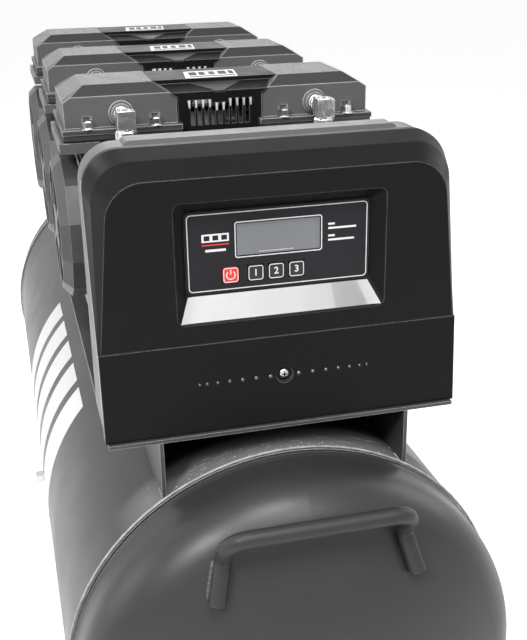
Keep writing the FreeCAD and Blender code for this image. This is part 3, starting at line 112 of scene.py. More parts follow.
def add_world():
    world = bpy.data.worlds.new("studio")
    world.use_nodes = True
    nodes, links = world.node_tree.nodes, world.node_tree.links
    lamp = nodes["Background"]
    lamp.inputs["Color"].default_value = (1, 1, 1, 1)
    lamp.inputs["Strength"].default_value = WORLD_LIGHT
    seen = nodes.new("ShaderNodeBackground")
    seen.inputs["Color"].default_value = (1, 1, 1, 1)
    seen.inputs["Strength"].default_value = 1.0
    mix = nodes.new("ShaderNodeMixShader")
    links.new(camera_ray_mask(nodes, links), mix.inputs[0])
    links.new(lamp.outputs[0], mix.inputs[1])
    links.new(seen.outputs[0], mix.inputs[2])
    links.new(mix.outputs[0], nodes["World Output"].inputs["Surface"])
    bpy.context.scene.world = world


def add_floor():
    """Pale floor that keeps the object's shadow: its own glow only brings its lit part up to white."""
    mesh = bpy.data.meshes.new("floor")
    half = FLOOR_SIZE / 2
    mesh.from_pydata([(-half, -half, 0), (half, -half, 0), (half, half, 0), (-half, half, 0)], [], [(0, 1, 2, 3)])
    floor = bpy.data.objects.new("floor", mesh)
    bpy.context.collection.objects.link(floor)
    mat, nodes, links, bsdf = shader("floor_white")
    bsdf.inputs["Base Color"].default_value = (0.86, 0.86, 0.86, 1)
    bsdf.inputs["Roughness"].default_value = 0.8
    bsdf.inputs["Emission Color"].default_value = (1, 1, 1, 1)
    glow = nodes.new("ShaderNodeMath")
    glow.operation = "MULTIPLY"
    glow.inputs[1].default_value = FLOOR_GLOW
    links.new(camera_ray_mask(nodes, links), glow.inputs[0])
    links.new(glow.outputs[0], bsdf.inputs["Emission Strength"])
    mesh.materials.append(mat)


def add_area(name, place, target, size, power):
    data = bpy.data.lights.new(name, "AREA")
    data.shape = "RECTANGLE"
    data.size, data.size_y = size
    data.energy = power
    lamp = bpy.data.objects.new(name, data)
    lamp.location = place
    lamp.rotation_euler = (Vector(target) - Vector(place)).to_track_quat("-Z", "Y").to_euler()
    bpy.context.collection.objects.link(lamp)


def add_lights():
    add_area("key_front_left", (-1.2, -1.5, 1.9), (0, -0.5, 0.3), (0.45, 0.45), 26)
    add_area("key_high_front", (-0.12, -1.16, 2.08), (-0.03, -0.5, 0.43), (0.6, 0.4), 17)
    add_area("ledge_softbox", (0.14, -1.46, 1.52), (0, -0.43, 0.56), (0.66, 0.5), 6)
    add_area("corner_left", (-1.12, 0.7, 2.0), (-0.1, -0.4, 0.6), (0.5, 0.5), 8)
    add_area("side_left", (-2.4, 0.1, 1.1), (0, 0, 0.35), (1.4, 1.2), 12)
    add_area("side_right", (2.4, 0.4, 1.5), (0, 0, 0.4), (1.2, 1.6), 10)
    add_area("back_rim", (0.5, 2.6, 1.8), (0, 0, 0.5), (1.8, 1.0), 18)


# ---- materials --------------------------------------------------------------------------
def noise(nodes, links, coords, scale, detail=3.0, rough=0.5):
    tex = nodes.new("ShaderNodeTexNoise")
    tex.inputs["Scale"].default_value = scale
    tex.inputs["Detail"].default_value = detail
    tex.inputs["Roughness"].default_value = rough
    links.new(coords, tex.inputs["Vector"])
    return tex.outputs["Fac"]


def spread(nodes, links, value, low, high, source=(0.3, 0.7)):
    """Maps a noise onto the range low to high."""
    tool = nodes.new("ShaderNodeMapRange")
    tool.inputs["From Min"].default_value = source[0]
    tool.inputs["From Max"].default_value = source[1]
    tool.inputs["To Min"].default_value = low
    tool.inputs["To Max"].default_value = high
    links.new(value, tool.inputs["Value"])
    return tool.outputs["Result"]


def spread_between(nodes, links, mask, first, second):
    """Goes from the socket first to the number second as the mask goes from 0 to 1."""
    tool = nodes.new("ShaderNodeMix")
    links.new(mask, tool.inputs["Factor"])
    links.new(first, tool.inputs[2])
    tool.inputs[3].default_value = second
    return tool.outputs[0]


def blend_colour(nodes, links, mask, first, second):
    tool = nodes.new("ShaderNodeMix")
    tool.data_type = "RGBA"
    links.new(mask, tool.inputs["Factor"])
    sockets = [s for s in tool.inputs if s.type == "RGBA"]
    for socket, value in zip(sockets, (first, second)):
        if isinstance(value, tuple):
            socket.default_value = (*value, 1)
        else:
            links.new(value, socket)
    return [s for s in tool.outputs if s.type == "RGBA"][0]


def bump_of(nodes, links, height, strength, distance, below=None):
    tool = nodes.new("ShaderNodeBump")
    tool.inputs["Strength"].default_value = strength
    tool.inputs["Distance"].default_value = distance
    links.new(height, tool.inputs["Height"])
    if below is not None:
        links.new(below, tool.inputs["Normal"])
    return tool.outputs["Normal"]


def edge_mask(nodes, links, radius, sharp=(0.80, 0.985)):
    """1 on sharp edges, 0 on flat surfaces: how far a rounded normal turns from the true one."""
    bevel = nodes.new("ShaderNodeBevel")
    bevel.samples = 4
    bevel.inputs["Radius"].default_value = radius
    geometry = nodes.new("ShaderNodeNewGeometry")
    dot = nodes.new("ShaderNodeVectorMath")
    dot.operation = "DOT_PRODUCT"
    links.new(bevel.outputs[0], dot.inputs[0])
    links.new(geometry.outputs["Normal"], dot.inputs[1])
    return spread(nodes, links, dot.outputs["Value"], 1.0, 0.0, sharp)


def surface(name, colour, rough=0.5, metal=0.0, grain=None, mottling=0.08, wear_and_glint=None, edge_radius=0.0008,
            edge_patchiness=(0.42, 0.62), sharp=(0.80, 0.985), coat=0.0, cloud=18.0, bevel=0.0, specular=0.5, patches=(),
            polished=None, edge_mark_where=None):
    """Painted, cast or moulded surface.

    grain is (scale, strength, depth) of the fine bump, wear_and_glint the colour laid along edges, both scuffed edges
    and painted highlights on them, edge_patchiness how patchy that edge colour is, sharp the turns of the normal that
    count as an edge, cloud the scale of the slow variation, bevel a rounding of the shading at edges, patches the
    (mask, colour) pairs laid over the base colour, which are also dull and hold painted shade and painted light
    besides real colour, polished a (mask, roughness) pair for a smoother region, edge_mark_where a mask that the edge
    colour keeps to."""
    mat, nodes, links, bsdf = shader(name)
    place = nodes.new("ShaderNodeTexCoord").outputs["Object"]
    slow = noise(nodes, links, place, cloud, 4.0)
    dark = tuple(c * (1 - mottling) for c in colour)
    light = tuple(min(1.0, c * (1 + mottling)) for c in colour)
    tint = blend_colour(nodes, links, spread(nodes, links, slow, 0, 1), dark, light)
    gloss = None
    for mask_of, patch in patches:
        mask = mask_of(nodes, links)
        tint = blend_colour(nodes, links, mask, tint, patch)
        gloss = mask if gloss is None else larger(nodes, links, gloss, mask)
    normal = None
    if bevel:
        rounding = nodes.new("ShaderNodeBevel")
        rounding.samples = 4
        rounding.inputs["Radius"].default_value = bevel
        normal = rounding.outputs[0]
    roughness = spread(nodes, links, noise(nodes, links, place, cloud * 3, 5.0), rough * 0.88, min(1, rough * 1.12))
    if gloss is not None:
        roughness = spread_between(nodes, links, gloss, roughness, DULL)
    if polished:
        mask_of, smooth = polished
        roughness = spread_between(nodes, links, mask_of(nodes, links), roughness, smooth)
    if grain:
        scale, strength, depth = grain
        fine = noise(nodes, links, place, scale, 2.0)
        normal = bump_of(nodes, links, fine, strength, depth, normal)
    # Pale colour along sharp edges: scuffed edges, and painted highlights where the edges would catch light.
    if wear_and_glint:
        edge_patches = spread(nodes, links, noise(nodes, links, place, 260, 5.0), 0.0, 1.0, edge_patchiness)
        mask = nodes.new("ShaderNodeMath")
        mask.operation = "MULTIPLY"
        links.new(edge_mask(nodes, links, edge_radius, sharp), mask.inputs[0])
        links.new(edge_patches, mask.inputs[1])
        wear_and_glint_mask = mask.outputs[0]
        if edge_mark_where:
            wear_and_glint_mask = times(nodes, links, wear_and_glint_mask, edge_mark_where(nodes, links))
        tint = blend_colour(nodes, links, wear_and_glint_mask, tint, wear_and_glint)
    links.new(tint, bsdf.inputs["Base Color"])
    links.new(roughness, bsdf.inputs["Roughness"])
    bsdf.inputs["Metallic"].default_value = metal
    bsdf.inputs["Specular IOR Level"].default_value = specular
    bsdf.inputs["Coat Weight"].default_value = coat
    if normal is not None:
        links.new(normal, bsdf.inputs["Normal"])
    return mat


DULL = 0.75


def separate(nodes, links, vector):
    parts = nodes.new("ShaderNodeSeparateXYZ")
    links.new(vector, parts.inputs[0])
    return parts.outputs


def times(nodes, links, first, second):
    tool = nodes.new("ShaderNodeMath")
    tool.operation = "MULTIPLY"
    links.new(first, tool.inputs[0])
    links.new(second, tool.inputs[1])
    return tool.outputs[0]


def larger(nodes, links, first, second):
    tool = nodes.new("ShaderNodeMath")
    tool.operation = "MAXIMUM"
    links.new(first, tool.inputs[0])
    links.new(second, tool.inputs[1])
    return tool.outputs[0]


def front_slope_painted_shade(nodes, links):
    """1 on faces that slope to the front, such as the band between a head's front and its ribbed top, where the
    darker colour is painted shade.
    """
    normal = separate(nodes, links, nodes.new("ShaderNodeNewGeometry").outputs["True Normal"])
    forward = spread(nodes, links, normal[1], 1.0, 0.0, (-0.35, -0.25))
    upward = spread(nodes, links, normal[2], 0.0, 1.0, (0.2, 0.3))
    return times(nodes, links, forward, upward)


def front_face_painted_light(nodes, links):
    """1 on upright faces that look to the front, whose own tone there is painted light."""
    normal = separate(nodes, links, nodes.new("ShaderNodeNewGeometry").outputs["True Normal"])
    return spread(nodes, links, normal[1], 1.0, 0.0, (-0.99, -0.95))


def side_wall(nodes, links):
    """1 on walls that look straight out to the sides."""
    normal = separate(nodes, links, nodes.new("ShaderNodeNewGeometry").outputs["True Normal"])
    return spread(nodes, links, times(nodes, links, normal[0], normal[0]), 0.0, 1.0, (0.9, 0.96))


def crevice_painted_shade(nodes, links):
    """1 deep in grooves, pockets and inner corners, where the darker colour is painted shade."""
    shade = nodes.new("ShaderNodeAmbientOcclusion")
    shade.samples = 8
    shade.only_local = True
    shade.inputs["Distance"].default_value = 3 * MM
    return spread(nodes, links, shade.outputs["AO"], 1.0, 0.0, (0.35, 0.8))


def not_on_top(nodes, links):
    """0 on flat tops and 1 elsewhere."""
    normal = separate(nodes, links, nodes.new("ShaderNodeNewGeometry").outputs["True Normal"])
    return spread(nodes, links, normal[2], 1.0, 0.0, (0.9, 0.95))


def flange_wall(nodes, links):
    """1 on the upright edge of the flange under the heads, where the gasket's black shows."""
    low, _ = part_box("head_left_1")
    foot = low.z + FLANGE_H * MM
    place = separate(nodes, links, nodes.new("ShaderNodeTexCoord").outputs["Object"])
    return spread(nodes, links, place[2], 1.0, 0.0, (foot - 0.9 * MM, foot - 0.6 * MM))


FLANGE_H = 4.5


def front_band_painted_light(nodes, links):
    """1 on the receiver's top just behind the front seam, where the lighter colour is painted light that stands for
    light reaching in under the box.
    """
    low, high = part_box("tank_shell")
    place = separate(nodes, links, nodes.new("ShaderNodeTexCoord").outputs["Object"])
    near = spread(nodes, links, place[1], 1.0, 0.0, (low.y + 34 * MM, low.y + 44 * MM))
    behind = spread(nodes, links, place[1], 0.0, 1.0, (low.y, low.y + 2 * MM))
    above = spread(nodes, links, place[2], 0.0, 1.0, (high.z - 60 * MM, high.z - 35 * MM))
    return times(nodes, links, times(nodes, links, near, behind), above)


def make_materials():
    powder = (1600, 0.3, 0.0004)
    cast = (700, 0.3, 0.0005)
    moulded = (2600, 0.18, 0.0002)
    flat_print = (1500, 0.05, 0.0001)
    everywhere = (0.1, 0.5)
    return {
        "tank_paint": surface("tank_paint", (0.0315, 0.0315, 0.0322), 0.36, cloud=6.0, grain=(900, 0.22, 0.0003),
                              bevel=0.003, mottling=0.03, specular=0.42,
                              wear_and_glint=(0.7, 0.7, 0.7), edge_radius=0.0012, edge_patchiness=everywhere,
                              # The band patch behind the front seam is painted light.
                              patches=((front_band_painted_light, (0.1575, 0.1575, 0.1575)),)),
        "handle_paint": surface("handle_paint", (0.035, 0.035, 0.036), 0.42, specular=0.3, grain=powder, bevel=0.0006,
                                wear_and_glint=(0.42, 0.42, 0.42)),
        "platform_paint": surface("platform_paint", (0.049, 0.049, 0.0508), 0.42, grain=powder,
                                  wear_and_glint=(0.56, 0.56, 0.56), edge_patchiness=everywhere),
        "head_paint": surface("head_paint", (0.105, 0.105, 0.1085), 0.45, grain=cast, mottling=0.07,
                              # On the heads the pale edge colour is mostly painted highlight, partly bare metal on
                              # scuffed edges.
                              wear_and_glint=(0.8, 0.8, 0.8), edge_radius=0.0011, edge_patchiness=(0.0, 0.4), sharp=(0.86, 0.985),
                              edge_mark_where=not_on_top,
                              bevel=0.001, specular=0.15,
                              # Painted shade on the front slopes and in the crevices, and painted light on the front
                              # faces.
                              patches=((front_slope_painted_shade, (0.049, 0.049, 0.0508)), (front_face_painted_light, (0.112, 0.112, 0.1155)),
                                       (crevice_painted_shade, (0.042, 0.042, 0.042)),
                                       (flange_wall, (0.0525, 0.0525, 0.056)))),
        "cylinder_cast": surface("cylinder_cast", (0.105, 0.105, 0.1085), 0.5, metal=0.4, grain=cast,
                                 wear_and_glint=(0.8, 0.8, 0.8), bevel=0.001),
        "crankcase_cast": surface("crankcase_cast", (0.26, 0.26, 0.265), 0.5, metal=0.6, grain=cast,
                                  wear_and_glint=(0.45, 0.45, 0.45)),
        "plate_steel": surface("plate_steel", (0.05, 0.05, 0.052), 0.4, metal=0.3, mottling=0.2),
        "motor_paint": surface("motor_paint", (0.105, 0.105, 0.112), 0.5, grain=cast),
        "rotor_steel": surface("rotor_steel", (0.4, 0.4, 0.41), 0.35, metal=1.0, grain=flat_print),
        "fan_plastic": surface("fan_plastic", (0.07, 0.07, 0.0735), 0.5, grain=moulded),
        "cover_plastic": surface("cover_plastic", (0.063, 0.063, 0.0665), 0.42, grain=moulded,
                                 wear_and_glint=(0.42, 0.42, 0.42), edge_patchiness=everywhere, specular=0.4),
        "lid_plastic": surface("lid_plastic", (0.0063, 0.0063, 0.0066), 0.5, grain=moulded,
                               wear_and_glint=(0.35, 0.35, 0.35), edge_patchiness=everywhere, specular=0.1, bevel=0.0008),
        "lid_plate": surface("lid_plate", (0.04, 0.04, 0.041), 0.4, metal=0.3, grain=cast, mottling=0.12),
        # The pale rib tips on the black lids are a painted highlight.
        "rib_tip_highlight": surface("rib_tip_highlight", (0.56, 0.56, 0.567), 0.4, grain=moulded, mottling=0.2),
        "box_plastic": surface("box_plastic", (0.0056, 0.0056, 0.0059), 0.42, grain=moulded, mottling=0.04,
                               specular=0.13, bevel=0.0015, wear_and_glint=(0.245, 0.245, 0.245), edge_radius=0.001,
                               polished=(side_wall, 0.1),
                               edge_patchiness=everywhere),
        "rear_plastic": surface("rear_plastic", (0.105, 0.105, 0.1085), 0.45, grain=moulded, mottling=0.05),
        "membrane": surface("membrane", (0.0175, 0.0175, 0.021), 0.16, grain=flat_print, mottling=0.2, specular=0.15),
        "lcd": surface("lcd", (0.1925, 0.1995, 0.21), 0.2, grain=flat_print, mottling=0.05),
        # Darker copy of the LCD colour for the frame's painted shadow.
        "lcd_bezel_shadow": surface("lcd_bezel_shadow", (0.175, 0.182, 0.1925), 0.25, grain=flat_print, mottling=0.1),
        "print_white": surface("print_white", (0.8, 0.8, 0.8), 0.4, grain=flat_print, mottling=0.08),
        "plate_white": surface("plate_white", (0.8, 0.8, 0.8), 0.5, grain=flat_print, mottling=0.08, specular=0.2),
        "print_grey": surface("print_grey", (0.8, 0.8, 0.8), 0.4, grain=flat_print, mottling=0.08),
        "print_red": surface("print_red", (0.8, 0.04, 0.032), 0.4, grain=flat_print, mottling=0.1),
        "decal_white": surface("decal_white", (0.86, 0.86, 0.86), 0.35, grain=powder, mottling=0.03),
        "key_red": surface("key_red", (0.8, 0.048, 0.032), 0.25, grain=flat_print, mottling=0.1),
        "key_black": surface("key_black", (0.021, 0.021, 0.0245), 0.2, grain=flat_print, mottling=0.2, specular=0.35),
        "screw_steel": surface("screw_steel", (0.62, 0.62, 0.63), 0.28, metal=1.0, grain=(900, 0.12, 0.0003),
                               mottling=0.15),
        "nickel": surface("nickel", (0.78, 0.775, 0.76), 0.24, metal=0.9, grain=(150, 0.4, 0.0014), mottling=0.15,
                          cloud=90.0),
        "brass": surface("brass", (0.62, 0.45, 0.18), 0.3, metal=1.0, grain=flat_print, mottling=0.15),
        "hose": surface("hose", (0.105, 0.105, 0.105), 0.45, grain=moulded),
        "board": surface("board", (0.07, 0.42, 0.14), 0.3, grain=flat_print),
        "lever_grip": surface("lever_grip", (0.8, 0.04, 0.024), 0.35, grain=moulded),
        "rubber": surface("rubber", (0.07, 0.07, 0.07), 0.7, grain=moulded),
        "tyre": surface("tyre", (0.077, 0.077, 0.077), 0.75, grain=moulded),
        "wheel": surface("wheel", (0.105, 0.105, 0.1085), 0.5, grain=moulded),
        "axle_steel": surface("axle_steel", (0.5, 0.5, 0.5), 0.35, metal=1.0, grain=flat_print),
        # Lighter, glossier copy of the black plastic for the ledge: painted highlight, with a polished finish.
        "ledge_gloss_and_highlight": surface("ledge_gloss_and_highlight", (0.175, 0.175, 0.1785), 0.24, grain=(2200, 0.25, 0.0002), mottling=0.05,
                               specular=1.0, coat=0.8),
        "seam_weld": surface("seam_weld", (0.385, 0.385, 0.392), 0.35, grain=cast, mottling=0.3, cloud=120.0),
        "weld": surface("weld", (0.07, 0.07, 0.07), 0.4, grain=powder, wear_and_glint=(0.175, 0.175, 0.175)),
    }


def dress_nodes():
    """Each CAD node gets the material of its slot."""
    for part in frame["record"]["subparts"]:
        node = NODES[part["node"]]
        node.data.materials.clear()
        node.data.materials.append(MATERIALS[part["material_slot"]])


# ---- shape tools ------------------------------------------------------------------------
def mm(x, y, z):
    return Vector((x, y, z)) * MM


def piece(name, bm, material, body="root", bevel=0.0, smooth=35.0):
    """Turns a bmesh in metres into a piece of the object that rides on a body."""
    bmesh.ops.recalc_face_normals(bm, faces=bm.faces)
    mesh = bpy.data.meshes.new(name)
    bm.to_mesh(mesh)
    bm.free()
    mesh.materials.append(MATERIALS[material])
    for face in mesh.polygons:
        face.use_smooth = True
    mesh.set_sharp_from_angle(angle=math.radians(smooth))
    obj = bpy.data.objects.new(name, mesh)
    bpy.context.collection.objects.link(obj)
    if bevel:
        edge = obj.modifiers.new("edge", "BEVEL")
        edge.width = bevel * MM
        edge.segments = 3
        edge.limit_method = "ANGLE"
        edge.angle_limit = math.radians(30)
    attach(obj, body)
    return obj


def add_loops(bm, loops, closed_ends=True):
    """Skin over loops of equally many points; the end loops are capped."""
    rings = [[bm.verts.new(p) for p in loop] for loop in loops]
    count = len(rings[0])
    for first, second in zip(rings, rings[1:]):
        for i in range(count):
            j = (i + 1) % count
            bm.faces.new((first[i], first[j], second[j], second[i]))
    if closed_ends:
        bm.faces.new(rings[0])
        bm.faces.new(list(reversed(rings[-1])))
    return rings


def add_box(bm, low, high):
    """Block between two corners in mm."""
    (x0, y0, z0), (x1, y1, z1) = low, high
    add_loops(bm, [[mm(x, y, z) for x, y in ((x0, y0), (x1, y0), (x1, y1), (x0, y1))] for z in (z0, z1)])


def axis_frame(axis):
    """Two unit vectors across an axis."""
    axis = Vector(axis).normalized()
    side = axis.orthogonal().normalized() if abs(axis.z) < 0.99 else Vector((1, 0, 0))
    return side, axis.cross(side)


def add_turned(bm, base, axis, profile, sides=28, turn=0.0):
    """Profile of (radius, height) in mm turned about an axis from base; few sides give a prism."""
    axis = Vector(axis).normalized()
    side, up = axis_frame(axis)
    loops = []
    for radius, height in profile:
        centre = Vector(base) + axis * height
        loops.append([(centre + (side * math.cos(a) + up * math.sin(a)) * radius) * MM
                      for a in (turn + math.tau * i / sides for i in range(sides))])
    add_loops(bm, loops)


def add_hexagon(bm, base, axis, radius, height, chamfer=1.0):
    """Hexagonal head or nut with chamfered corners."""
    add_turned(bm, base, axis, [(radius - chamfer / 2, 0), (radius, chamfer / 2), (radius, height - chamfer),
                                (radius - chamfer, height)], sides=6)


def rounded_outline(width, height, radius, steps=6):
    """Points (x, z) of a rounded rectangle about the origin."""
    points = []
    for i, (sx, sz) in enumerate(((1, 1), (-1, 1), (-1, -1), (1, -1))):
        for k in range(steps + 1):
            angle = math.radians(90 * i + 90 * k / steps)
            points.append((sx * (width / 2 - radius) + radius * math.cos(angle),
                           sz * (height / 2 - radius) + radius * math.sin(angle)))
    return points


def add_frame_line(bm, centre, width, height, radius, line, thick):
    """Flat outline of a rounded rectangle on a face that looks to -Y."""
    x, y, z = centre
    outer = rounded_outline(width, height, radius)
    inner = rounded_outline(width - 2 * line, height - 2 * line, max(radius - line, 0.2))
    loops = [[mm(x + u, y + dy, z + v) for u, v in edge]
             for edge, dy in ((outer, 0), (outer, -thick), (inner, -thick), (inner, 0), (outer, 0))]
    add_loops(bm, loops, closed_ends=False)


def add_prism(bm, outline, offset):
    """Outline in mm pushed along an offset in mm."""
    loop = [Vector(p) * MM for p in outline]
    add_loops(bm, [loop, [p + Vector(offset) * MM for p in loop]])


# ---- pump heads and lids ----------------------------------------------------------------
BOSS_DROP = 23.0
BOSS_AHEAD = 4.0
ELBOW_AHEAD = 20.0
ELBOW_SIZE = 15.0
NUT_LOW, NUT_HIGH = 21.0, 9.0
SCREW_SPAN = 29.0
SCREW_INSET = 4.0
SCREW_DROP = 34.0
RIB_PITCH = 6.03
RIBS = 10
RIB_TOP = 15.6
SHORT_RIBS = (4, 5)


def pump_heads():
    """(side, box low, box high) of each head in mm; side is 1 on the right and -1 on the left."""
    for pump in (1, 2, 3):
        for side, word in ((1, "right"), (-1, "left")):
            low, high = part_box(f"head_{word}_{pump}")
            yield side, low / MM, high / MM


def add_elbows():
    """Nickel outlet elbow of each head: neck and collars in the boss, forged corner, hex nut below."""
    bm = bmesh.new()
    bodies = bmesh.new()
    for _, low, high in pump_heads():
        x, z = (low.x + high.x) / 2, high.z - BOSS_DROP
        face = low.y + BOSS_AHEAD
        corner = face - ELBOW_AHEAD - BOSS_AHEAD
        add_turned(bm, (x, face - 0.2, z), (0, -1, 0), [(6.9, 0), (6.9, 1.4), (6.0, 2.2), (6.0, face - corner - 5)])
        add_turned(bm, (x, face - 6.2, z), (0, -1, 0), [(6.6, 0), (7.2, 0.6), (7.2, 2.4), (6.4, 3.2)])
        add_turned(bm, (x, corner, z - 6), (0, 0, -1), [(6.4, 0), (6.4, 5)])
        add_hexagon(bm, (x, corner, z - NUT_LOW), (0, 0, 1), 9.3, NUT_LOW - NUT_HIGH, 1.4)
        add_turned(bm, (x, corner, z - NUT_HIGH - 0.2), (0, 0, 1), [(7.6, 0), (7.6, 1.6), (6.8, 2.2)])
        half = ELBOW_SIZE / 2
        add_box(bodies, (x - half, corner - half, z - half - 0.5), (x + half, corner + half, z + half - 0.2))
        add_turned(bodies, (x, corner, z + half - 0.5), (0, 0, 1), [(5.0, 0), (4.8, 0.5), (3.9, 0.7), (3.0, 0.3)])
    necks = piece("elbow_necks", bm, "nickel", bevel=0.3)
    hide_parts("outlet_elbows")
    piece("elbow_bodies", bodies, "nickel", bevel=4.2, smooth=60)


def add_head_screws():
    """Washer and hexagon head at the four corners of each head."""
    bm = bmesh.new()
    for _, low, high in pump_heads():
        middle = (low.x + high.x) / 2
        z = high.z - SCREW_DROP
        for x in (middle - SCREW_SPAN, middle + SCREW_SPAN):
            for y in (low.y + SCREW_INSET, high.y - SCREW_INSET):
                add_turned(bm, (x, y, z - 0.3), (0, 0, 1), [(5.9, 0), (5.9, 1.0), (5.4, 1.5)], sides=24)
                add_hexagon(bm, (x, y, z + 1.0), (0, 0, 1), 5.1, 6.0, 0.9)
                add_turned(bm, (x, y, z + 6.8), (0, 0, 1), [(3.2, 0), (2.9, 0.4), (1.5, 0.5)], sides=18)
    screws = piece("head_screw_set", bm, "screw_steel", bevel=0.15)
    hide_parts("head_screws")


def add_lid_details():
    """Rib tips of the lid's grille, pale as a painted highlight, the textured shield on its slope and the plain plate
    on top.
    """
    tips, shields, plates, marks = bmesh.new(), bmesh.new(), bmesh.new(), bmesh.new()
    for pump in (1, 2, 3):
        low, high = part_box(f"motor_cover_{pump}")
        low, high = low / MM, high / MM
        for i in range(RIBS):
            x = (i - (RIBS - 1) / 2) * RIB_PITCH
            top = high.z - RIB_TOP - (3.0 if i in SHORT_RIBS else 0.0)
            add_rib_tip(tips, x, low.y, top)
        add_shield(shields, low.y, high.z)
        add_lid_plate(plates, marks, low.y, high.z)
    piece("lid_rib_tips", tips, "rib_tip_highlight", smooth=20)
    piece("lid_shields", shields, "lid_plate", bevel=0.2, smooth=20)
    piece("lid_plates", plates, "plate_white", bevel=0.1)
    piece("lid_plate_bars", marks, "lid_plastic")


def add_rib_tip(bm, x, face, top):
    """Wedge that thins from a wide upper end to the rib below it."""
    wide, thin, deep, tall = 1.25, 0.5, 1.0, 6.5
    add_loops(bm, [[Vector(p) * MM for p in loop] for loop in (
        ((x - wide, face + 0.4, top), (x + wide, face + 0.4, top), (x + wide, face - 0.2, top),
         (x - wide, face - 0.2, top)),
        ((x - thin, face + 0.4, top - tall), (x + thin, face + 0.4, top - tall),
         (x + thin, face - deep, top - tall), (x - thin, face - deep, top - tall)))])


SLOPE_FOOT = 8.5
SLOPE_HEAD = 3.7
SLOPE_RUN = 19.0


def add_shield(bm, face, top):
    """Raised plate on the lid's slope with a flat tip over its front edge."""
    rise = (SLOPE_FOOT - SLOPE_HEAD) / SLOPE_RUN

    def on_slope(x, y, lift):
        return (x, y, top - SLOPE_FOOT + (y - face) * rise + lift)

    outline = [(-23.5, face + SLOPE_RUN - 1.2), (23.5, face + SLOPE_RUN - 1.2), (5.5, face + 1.0), (-5.5, face + 1.0)]
    add_loops(bm, [[Vector(on_slope(x, y, lift)) * MM for x, y in outline] for lift in (-0.4, 0.7)])
    tip = [(-5.5, face + 1.0), (5.5, face + 1.0), (4.6, face - 0.6), (-4.6, face - 0.6)]
    add_loops(bm, [[Vector(on_slope(x, y, lift)) * MM for x, y in tip] for lift in (-1.6, 0.6)])


PLATE_BARS = ((-19.5, 7.0), (-10.5, 5.5), (-1.5, 5.5), (7.0, 7.5), (16.5, 4.5))


def add_lid_plate(plates, marks, face, top):
    """Slanted white plate on the lid's top, with plain dark bars."""
    near, far, slant = face + 19.8, face + 57.5, 1.5
    add_prism(plates, [(-24 - slant, near, top - 0.2), (22.5 - slant, near, top - 0.2), (24 + slant, far, top - 0.2),
                       (-22.5 + slant, far, top - 0.2)], (0, 0, 0.45))
    for x, wide in PLATE_BARS:
        add_prism(marks, [(x, near + 14, top), (x + wide, near + 14, top), (x + wide + slant, far - 6, top),
                          (x + slant, far - 6, top)], (0, 0, 0.4))
    add_prism(marks, [(-21, near + 4.5, top), (20, near + 4.5, top), (20.4, near + 8.5, top),
                      (-20.6, near + 8.5, top)], (0, 0, 0.4))


# ---- display ----------------------------------------------------------------------------
PRINT = 0.14
LCD_FRAME = (65.6, 27.0)


def add_display_print():
    """Outline, window frame and plain bars printed on the membrane, and painted shadow of the frame along the LCD's
    top and right inner edges.
    """
    low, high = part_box("display_membrane")
    low, high = low / MM, high / MM
    face, centre = low.y + 0.02, (low.z + high.z) / 2
    white, red, grey, bezel_shadow, dark = (bmesh.new() for _ in range(5))
    add_frame_line(white, (0, face, centre), 2 * high.x - 3.0, high.z - low.z - 3.6, 3.2, 0.65, PRINT)
    glass_low, glass_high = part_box("lcd_window")
    glass_low, glass_high = glass_low / MM, glass_high / MM
    glass = (glass_low.z + glass_high.z) / 2
    add_frame_line(white, (0, face, glass), *LCD_FRAME, 2.0, 0.7, PRINT * 2)
    add_box(white, (-57, face - PRINT, centre + 8), (-37, face, centre + 14))
    for x in (-55.4, -49.0, -42.6):
        add_box(dark, (x, face - PRINT - 0.05, centre + 9.2), (x + 4.2, face, centre + 12.8))
    add_box(red, (-57, face - PRINT, centre + 5.4), (-37, face, centre + 6.3))
    add_box(white, (-54.5, face - PRINT, centre + 0.8), (-39.5, face, centre + 2.6))
    for up, wide in ((13.8, 5.0), (10.6, 21.5), (4.9, 5.0), (1.7, 20.0)):
        add_box(grey, (37.5, face - PRINT, centre + up - 0.75), (37.5 + wide, face, centre + up + 0.75))
    # Painted shadow of the frame along the LCD's top and right.
    pane = glass_low.y
    add_box(bezel_shadow, (glass_low.x + 0.6, pane - 0.05, glass_high.z - 2.2),
            (glass_high.x - 0.6, pane + 0.1, glass_high.z - 0.5))
    add_box(bezel_shadow, (glass_high.x - 3.0, pane - 0.05, glass_low.z + 0.6),
            (glass_high.x - 0.6, pane + 0.1, glass_high.z - 2.2))
    for k in range(12):
        x = -14.5 + 2.2 * k
        add_box(white, (x, pane - 0.06, glass_low.z + 1.3), (x + 1.2, pane + 0.1, glass_low.z + 2.0))
    piece("membrane_print", white, "print_white")
    piece("membrane_red_bar", red, "print_red")
    piece("membrane_grey_bars", grey, "print_grey")
    piece("membrane_dark_blocks", dark, "membrane")
    piece("lcd_bezel_shadow_strips", bezel_shadow, "lcd_bezel_shadow")


def add_key_prints():
    """Outline on every key, a power sign on the red one and numbers on the black ones."""
    for node, sign in (("power_button", None), ("pump_button_1", "1"), ("pump_button_2", "2"),
                       ("pump_button_3", "3")):
        low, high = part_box(node)
        low, high = low / MM, high / MM
        x, z = (low.x + high.x) / 2, (low.z + high.z) / 2
        face, size = low.y + 0.02, high.x - low.x
        bm = bmesh.new()
        add_frame_line(bm, (x, face, z), size - 0.6, size - 0.6, 1.8, 0.6, PRINT)
        if sign is None:
            add_power_sign(bm, x, face, z, size * 0.24)
        else:
            add_number(bm, sign, x, face, z, size * 0.62)
        piece(f"{node}_print", bm, "print_white", body=node)


